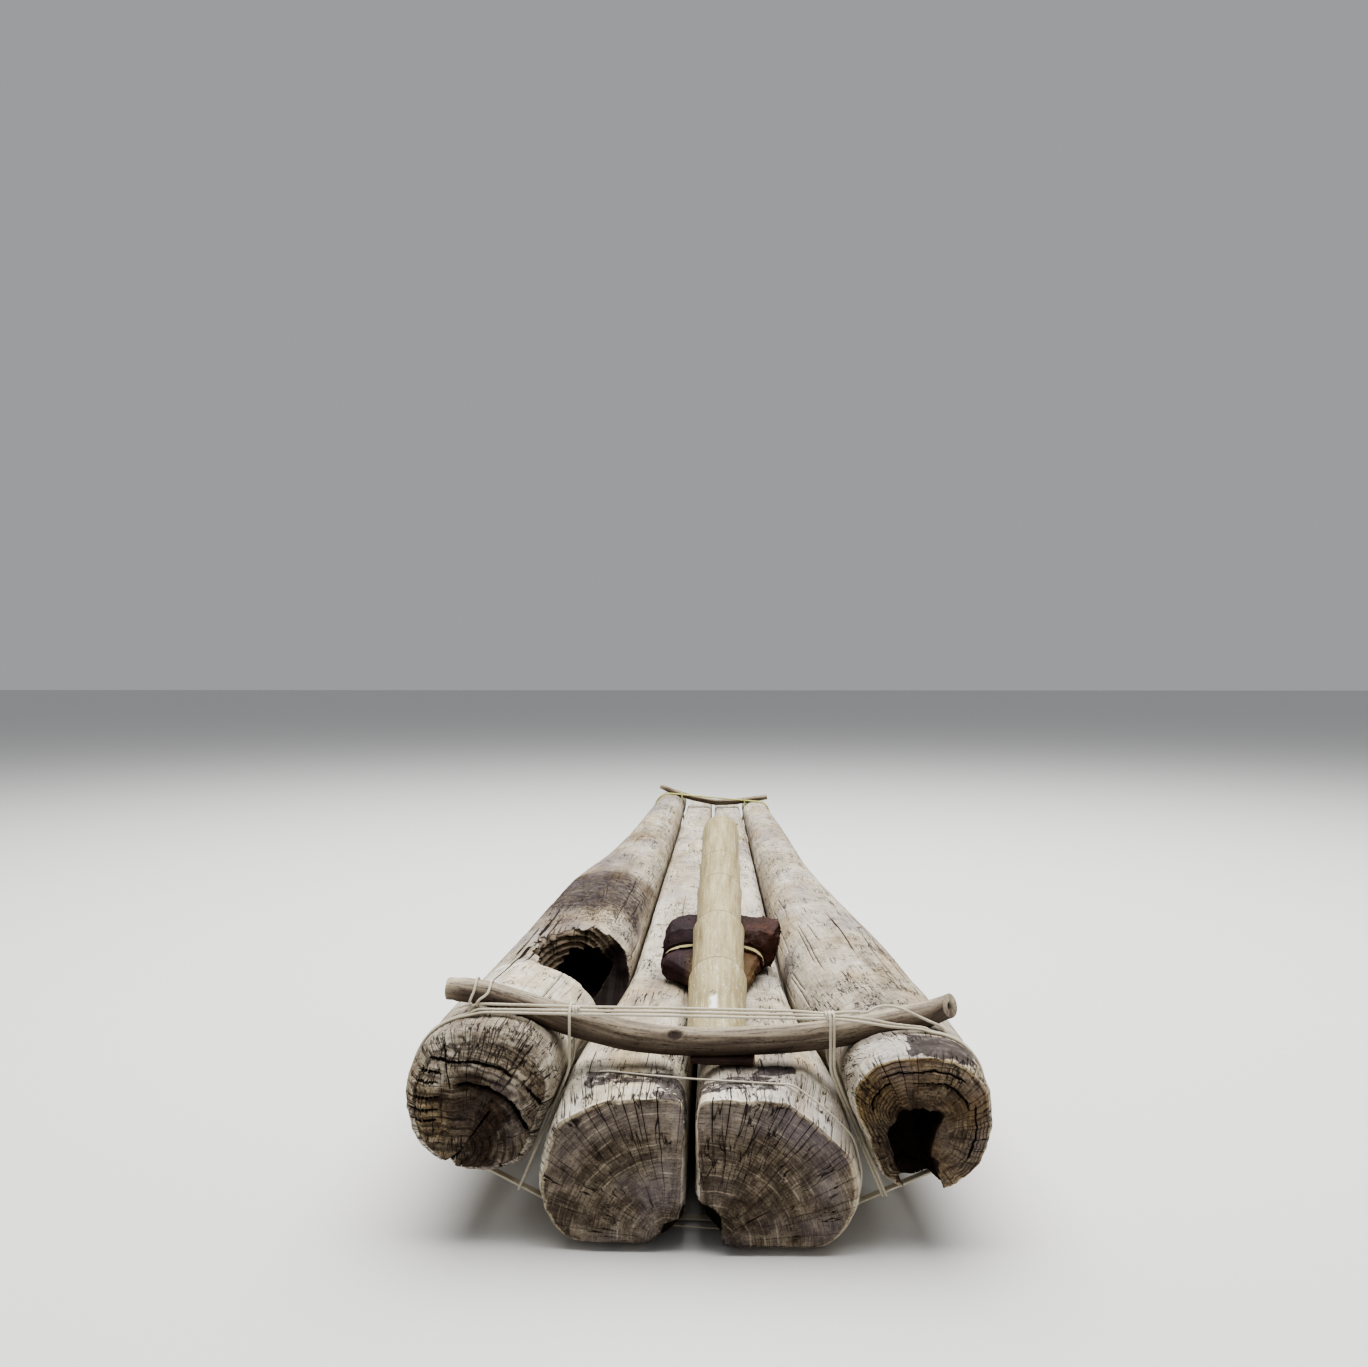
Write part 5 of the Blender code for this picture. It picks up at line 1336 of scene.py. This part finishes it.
def build_paddle(material):
    """Split bamboo with its flared joints and worn tip."""
    tilt, yaw = math.radians(PADDLE_TILT_DEG), math.radians(PADDLE_YAW_DEG)
    ahead = np.array([math.sin(yaw), math.cos(yaw), 0.0])
    sideways = np.array([math.cos(yaw), -math.sin(yaw), 0.0])
    along = ahead * math.cos(tilt) + (0.0, 0.0, math.sin(tilt))
    upward = np.array([0.0, 0.0, math.cos(tilt)]) - ahead * math.sin(tilt)
    start = np.array([PADDLE_X, STERN_Y + PADDLE_STATION, DECK_Z + CLEARANCE])
    places = [np.linspace(0.0, PADDLE_LENGTH, 200), PADDLE_LENGTH - 0.036 * np.linspace(0, 1, 20) ** 2]
    places += [node + np.linspace(-0.010, 0.010, 13) for node in PADDLE_NODES]
    places = np.unique(np.concatenate(places))[:, None]
    radii = np.interp(places, *np.array(PADDLE_RADII).T)
    shares = np.interp(PADDLE_LENGTH - places, *np.array(PADDLE_TIP_ROUNDS).T)
    # Marks at the joints' lips: a shallow groove here, and a dark line in the bamboo material that is painted
    # shadow.
    marks = sum(np.exp(-((places - node + 0.0034) / 0.0032) ** 2) for node in PADDLE_NODES)
    worn = 0.0018 * np.clip(1.0 - places / 0.006, 0.0, 1.0) ** 2
    half = math.radians(PADDLE_HALF_ARC_DEG)
    outer, inner = (half * shares * np.linspace(side, -side, steps) for side, steps in
                    ((1, PADDLE_OUTER_STEPS), (-1, PADDLE_INNER_STEPS)))
    guide = np.stack([outer * 2.0, np.broadcast_to(places, outer.shape), 0 * outer], -1)
    bumps = 0.0022 * wave(guide, (1.2, 9.0, 1.0), 31, 2) + 0.0006 * wave(guide, (9.0, 30.0, 1.0), 33, 2)
    sections = [np.stack([radius * np.sin(angle),
                          np.maximum(radius * np.cos(angle) - radii * math.cos(half), 0.0)], -1)
                for radius, angle in ((radii - worn - np.abs(bumps) - 0.0010 * marks, outer),
                                      (radii - PADDLE_WALL + worn, inner))]
    section = np.concatenate(sections, 1)
    grid = start + places[..., None] * along + section[..., 1:] * upward + section[..., :1] * sideways
    inside = np.repeat((0.0, 1.0), (PADDLE_OUTER_STEPS, PADDLE_INNER_STEPS)) + 0 * places
    x, far = section[..., 0], places + 0 * section[..., 0]
    grain = np.stack([x, far, section[..., 1]], -1)
    edge = 0.5 * wave(grain, (260.0, 50.0, 260.0), 35, 2)
    scar = np.maximum(np.abs(x + 0.0050) / 0.0066, np.abs(far - 0.121) / 0.029) + edge
    scar = smooth_step(scar, 1.06, 0.94)
    dots = smooth_step(np.hypot((x + 0.0085) / 0.0085, (far - 0.166) / 0.017), 1.1, 0.5)
    fields = {"crack": marks * (1 - inside), "pale": scar * (1 - inside), "ochre": dots * (1 - inside),
              "end": inside, "top": np.where(far < 0.33, 1.0, 0.55), "grain": grain}
    faces = [tube_faces(*grid.shape[:2]), end_triangles(*grid.shape[:2])]
    return add_object("paddle_bamboo", grid.reshape(-1, 3), faces, material, fields)


def end_triangles(rows, around):
    """Triangles between the outer and inner curves of the paddle at its two ends."""
    outer = np.arange(PADDLE_OUTER_STEPS)
    back = (PADDLE_INNER_STEPS - 1) * (1 - outer / (PADDLE_OUTER_STEPS - 1))
    matching = PADDLE_OUTER_STEPS + np.round(back).astype(int)
    triangles = []
    for first, way in ((0, -1), ((rows - 1) * around, 1)):
        for i in range(PADDLE_OUTER_STEPS - 1):
            a, b, c, d = first + outer[i], first + outer[i + 1], first + matching[i + 1], first + matching[i]
            triangles.append((a, *(b, c)[::way]))
            if c != d:
                triangles.append((a, *(c, d)[::way]))
    return np.array(triangles)


def build_stone(material):
    """Rough stone, over its CAD shape."""
    work = bmesh.new()
    work.from_mesh(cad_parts["anchor_stone"].data)
    bmesh.ops.remove_doubles(work, verts=work.verts, dist=0.00005)
    bmesh.ops.triangulate(work, faces=work.faces)
    for _ in range(5):
        longest = [edge for edge in work.edges if edge.calc_length() > 0.0075]
        if not longest:
            break
        bmesh.ops.subdivide_edges(work, edges=longest, cuts=1)
        bmesh.ops.triangulate(work, faces=work.faces)
    bmesh.ops.smooth_vert(work, verts=work.verts, factor=0.5, use_axis_x=True, use_axis_y=True,
                          use_axis_z=True)
    bmesh.ops.recalc_face_normals(work, faces=work.faces)
    work.normal_update()
    points, normals = (np.array([tuple(getattr(v, key)) for v in work.verts]) for key in ("co", "normal"))
    faces = np.array([[v.index for v in face.verts] for face in work.faces])
    work.free()
    right = smooth_step(points[:, 0], 0.03, 0.10)
    rough = fractal(points, 85.0, 92)
    sunk = 0.0065 * fractal(points, (26.0, 18.0, 26.0), 91, 2) + (0.0014 + 0.0085 * right) * rough
    points = points - normals * sunk[:, None]
    points[:, 2] = np.maximum(points[:, 2], DECK_Z + 0.0004)
    ochre = smooth_step(points[:, 2], 0.345, 0.320) * smooth_step(np.abs(points[:, 0] - 0.045), 0.090, 0.060)
    fields = {"right": right, "ochre": ochre, "crack": rough}
    return add_object("anchor_stone_rough", points, [faces], material, fields)


def build_wedge(material):
    """Broken stick under the beam, with a pale cut end."""
    low, high = (np.array(tuple(corner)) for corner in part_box("beam_wedge"))
    rows, around = 60, 40
    places = np.linspace(low[0], high[0], rows)[:, None]
    angles = 2 * np.pi * np.arange(around) / around
    middle, half = (low + high) / 2, (high - low) / 2
    across = np.sign(np.cos(angles)) * np.abs(np.cos(angles)) ** 0.6
    upward = np.sign(np.sin(angles)) * np.abs(np.sin(angles)) ** 0.7
    taper = 1.0 - 0.25 * smooth_step(places, low[0] + 0.03, low[0])
    grid = np.stack([np.broadcast_to(places, (rows, around)), middle[1] + half[1] * across * taper,
                     middle[2] + half[2] * upward * taper], -1)
    grid[..., 1] -= (grid[..., 1] - middle[1]) * 0.16 * fractal(grid, (22.0, 90.0, 90.0), 95)
    tree = node_tree_of("stern_beam")[0]
    for point in grid.reshape(-1, 3):
        found = tree.ray_cast(Vector((point[0], point[1], 0.2)), Vector((0, 0, 1)))[0]
        point[2] = max(min(point[2], found.z - 0.0004 if found else high[2]), low[2])
    fields = {"grain": np.stack([np.broadcast_to(angles * 0.015, (rows, around)), grid[..., 0],
                                 np.full((rows, around), 3.0)], -1),
              "end": smooth_step(places, high[0] - 0.004, high[0] - 0.001)}
    return close_tube("wedge_stick", grid, material, fields, flip=True)


def frapping_path(circles, radius, seam_x=0.0, lean=0.0):
    """Closed path through a leaning seam, round circles given as station, height and radius."""
    turns = np.linspace(0, 2 * np.pi, 20, endpoint=False)
    shapes = [np.stack([station + r * np.cos(turns), z + r * np.sin(turns)], -1) for station, z, r in circles]
    loop = wrapped(shapes, radius + CLEARANCE)
    loop = resample(np.stack([loop[:, 0], loop[:, 1], 0 * loop[:, 0]], -1), 0.004, True)
    x = seam_x + lean * (np.minimum(loop[:, 1], FRAPPING_BEND_Z) - SEAM_REFERENCE_Z)
    return np.stack([x, STERN_Y + loop[:, 0], loop[:, 1]], -1)


def beam_circle(beam, x, station, slack):
    """Circle round a beam at a place, as station, height and radius."""
    return station, float(np.interp(x, beam[0], beam[2])), float(np.interp(x, beam[0], beam[3])) + slack


def knot_path(x, z, station):
    """Coil of cord round a bundle that runs along X."""
    steps = np.linspace(0, 1, int(KNOT_TURNS * 20))
    angle = 2 * np.pi * KNOT_TURNS * steps
    return np.stack([x + KNOT_WIDTH * (steps - 0.5), STERN_Y + station + KNOT_RADII[0] * np.cos(angle),
                     z + KNOT_RADII[1] * np.sin(angle)], -1)


def build_stern_lashing(material):
    """Hoop, frapping turns, hitch and knots of the stern, and the thin cord round the inner logs."""
    def finish_cord(piece, *nodes):
        """Attaches a cord to the raft and hides its CAD nodes."""
        finish_piece(piece, "cream_cord", "raft", *nodes)

    strands = [cord(f"stern_hoop_{i}", hoop_path(station, CORD_RADIUS, run), CORD_RADIUS, material)
               for i, (station, run) in enumerate(HOOP_RUNS)]
    finish_cord(joined("stern_hoop", strands), *(f"stern_hoop_turn_{turn}" for turn in TURNS))
    beam = beam_line("stern_beam")
    for node, seam_x, lean, x, bottom in STERN_FRAPPINGS:
        circles = [beam_circle(beam, x, STERN_BEAM_STATION, 0.0008)]
        for station, run in HOOP_RUNS:
            top = float(np.interp(x, *np.array(run).T))
            circles += [(station, z, CORD_RADIUS) for z in (top, bottom)]
        path = frapping_path(circles, CORD_RADIUS, seam_x, lean)
        finish_cord(cord(node + "_cord", path, CORD_RADIUS, material), node)
    for i, (beam_x, meet_x) in enumerate(HITCHES, start=1):
        circle = beam_circle(beam, beam_x, STERN_BEAM_STATION, 0.0008)
        loop = frapping_path([circle, (*HITCH_MEETING, 0.001)], CORD_RADIUS)
        front = smooth_step(loop[:, 1] - STERN_Y, 0.165, 0.138)
        front = front * smooth_step(loop[:, 2], circle[1] + 0.01, 0.388)
        loop[:, 0] = beam_x + (meet_x - beam_x) * front
        node = f"beam_end_hitch_turn_{i}"
        finish_cord(cord(node + "_cord", loop, CORD_RADIUS * 0.92, material), node)
    paths = [(f"knot_{i}", knot_path(*place)) for i, place in enumerate(KNOTS)]
    paths.append(("hitch_tail", [(x, STERN_Y + station, z) for x, station, z in HITCH_TAIL]))
    finish_cord(joined("stern_knots", [cord(name, path, CORD_RADIUS * 0.85, material, closed=False)
                                       for name, path in paths]))
    corners = [outline_at(name, THIN_CORD_STATION) for name in ("log_inner_left", "log_inner_right")]
    path = resample(upright_path(wrapped(corners, THIN_CORD_RADIUS + CLEARANCE), 0.0), 0.004, True)
    slanting, straight = (np.interp(path[:, 0], *np.array(line).T)
                          for line in (THIN_CORD_TOP, THIN_CORD_BOTTOM))
    path[:, 1] = STERN_Y + straight + (slanting - straight) * smooth_step(path[:, 2], 0.05, 0.20)
    finish_cord(cord("inner_log_cord", path, THIN_CORD_RADIUS, material), "inner_log_lashing")


def build_stone_cords(material):
    """Turns of cord in the waist of the stone."""
    tree = node_tree_of("anchor_stone")[0]
    for turn in TURNS:
        node = f"stone_cord_turn_{turn}"
        low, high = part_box(node)
        middle = (low + high) / 2
        points = []
        for angle in 2 * np.pi * np.arange(72) / 72:
            way = Vector((math.cos(angle), 0.0, math.sin(angle)))
            hit = tree.ray_cast(middle + way * 0.4, -way)[0]
            points.append((hit.x, hit.z))
        loop = wrapped([points], STONE_CORD_RADIUS)
        waves = 0.0009 * np.sin(60.0 * loop[:, 0] + 2.0 * turn)
        path = np.stack([loop[:, 0], middle.y + waves, loop[:, 1]], -1)
        finish_piece(cord(node + "_cord", path, STONE_CORD_RADIUS, material), "cream_cord", "raft", node)


def build_bow_lashing(material):
    """Rope turns and frapping at the bow."""
    nodes = [f"bow_hoop_turn_{turn}" for turn in TURNS]
    stations = [sum(corner.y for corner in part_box(node)) / 2 - STERN_Y for node in nodes]
    hoops = [cord(f"bow_hoop_{turn}", hoop_path(station, BOW_ROPE_RADIUS), BOW_ROPE_RADIUS, material)
             for turn, station in zip(TURNS, stations)]
    finish_piece(joined("bow_hoop", hoops), "yellow_green_rope", "raft", *nodes)
    beam = beam_line("bow_beam")
    for node, side in (("bow_frapping_left", -1), ("bow_frapping_right", 1)):
        low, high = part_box(node)
        x_low, x_top = (low.x, high.x)[::side]
        circles = [beam_circle(beam, (low.x + high.x) / 2, beam[1] - STERN_Y, 0.0006)]
        for station in stations:
            circles += [(station, z, BOW_ROPE_RADIUS) for z in (high.z - 0.012, low.z + 0.0105)]
        loop = frapping_path(circles, BOW_ROPE_RADIUS)
        rise = (loop[:, 2] - low.z) / (min(high.z, FRAPPING_BEND_Z) - low.z)
        loop[:, 0] = x_low + (x_top - x_low) * np.clip(rise, 0, 1)
        finish_piece(cord(node + "_rope", loop, BOW_ROPE_RADIUS, material), "yellow_green_rope", "raft", node)


def add_view():
    """Camera at the photograph's place, pale floor and sky, and a soft light above the raft."""
    data = bpy.data.cameras.new("camera")
    data.sensor_fit = "HORIZONTAL"
    data.sensor_width = SENSOR_MM
    data.lens = FOCAL_PX / IMAGE_WIDTH_PX * SENSOR_MM
    camera = bpy.data.objects.new("camera", data)
    camera.location = (CAMERA_X, STERN_Y - CAMERA_BACK, CAMERA_Z)
    camera.rotation_euler = (math.radians(90.0 - CAMERA_PITCH_DEG), 0.0, math.radians(CAMERA_YAW_DEG))
    bpy.context.scene.collection.objects.link(camera)
    bpy.context.scene.camera = camera
    look = Look("floor")
    look.fill(look.shader.inputs, {"Base Color": (*FLOOR_COLOUR, 1.0), "Roughness": 0.9})
    corners = [(x * FLOOR_REACH, y * FLOOR_REACH, 0.0) for x, y in ((-1, -1), (1, -1), (1, 1), (-1, 1))]
    add_object("floor", corners, [np.array([[0, 1, 2, 3]])], look.material)
    world = bpy.data.worlds.new("world")
    world.use_nodes = True
    background = world.node_tree.nodes["Background"].inputs
    background["Color"].default_value, background["Strength"].default_value = (*SKY_COLOUR, 1.0), SKY_STRENGTH
    bpy.context.scene.world = world
    data = bpy.data.lights.new("key", "AREA")
    data.size, data.energy = LIGHT_SIZE, LIGHT_POWER
    light = bpy.data.objects.new("key", data)
    light.location = LIGHT_PLACE
    bpy.context.scene.collection.objects.link(light)
    bpy.context.scene.view_settings.look = "AgX - Medium High Contrast"


add_view()
wood = driftwood()
logs = {row[0]: build_log(row, wood) for row in LOGS}
carve(logs["log_outer_left"],
      lump("pocket", POCKET, POCKET_RADII, 0.016, 71, wood, 150, 180, True, POCKET_LAYERS, POCKET_SHADE_TOP),
      lump("bore", BORE, BORE_RADII, 0.020, 77, wood, 40, 64, False, None, BORE_SHADE_TOP))
carve(logs["log_outer_right"], tunnel("end_hollow", END_HOLLOW, END_HOLLOW_DEPTH, 83, wood, 76, 160, 0.032))
for name, outline, depth, seed in BROKEN_CORNERS:
    carve(logs[name], tunnel("corner", outline, depth, seed, wood, 44, 110, 0.022))
cream, yellow = cordage("cream_cord", *CREAM_CORD, 0.15), cordage("yellow_green_rope", *YELLOW_ROPE, 0.10)
build_stern_lashing(cream)
build_stone_cords(cordage("stone_line", *STONE_CORD, 0.10))
build_bow_lashing(yellow)
branch_wood = branch()
for piece, slot, body, node in (
        (build_beam("stern_beam", branch_wood, 61, BEAM_KNOT, 0.011, 0.72),
         "branch_wood", "raft", "stern_beam"),
        (build_beam("bow_beam", branch_wood, 67), "branch_wood", "raft", "bow_beam"),
        (build_paddle(bamboo()), "split_bamboo", "paddle", "paddle"),
        (build_stone(stone()), "dark_stone", "raft", "anchor_stone"),
        (build_wedge(wet_stick()), "dark_stick", "raft", "beam_wedge")):
    finish_piece(piece, slot, body, node)
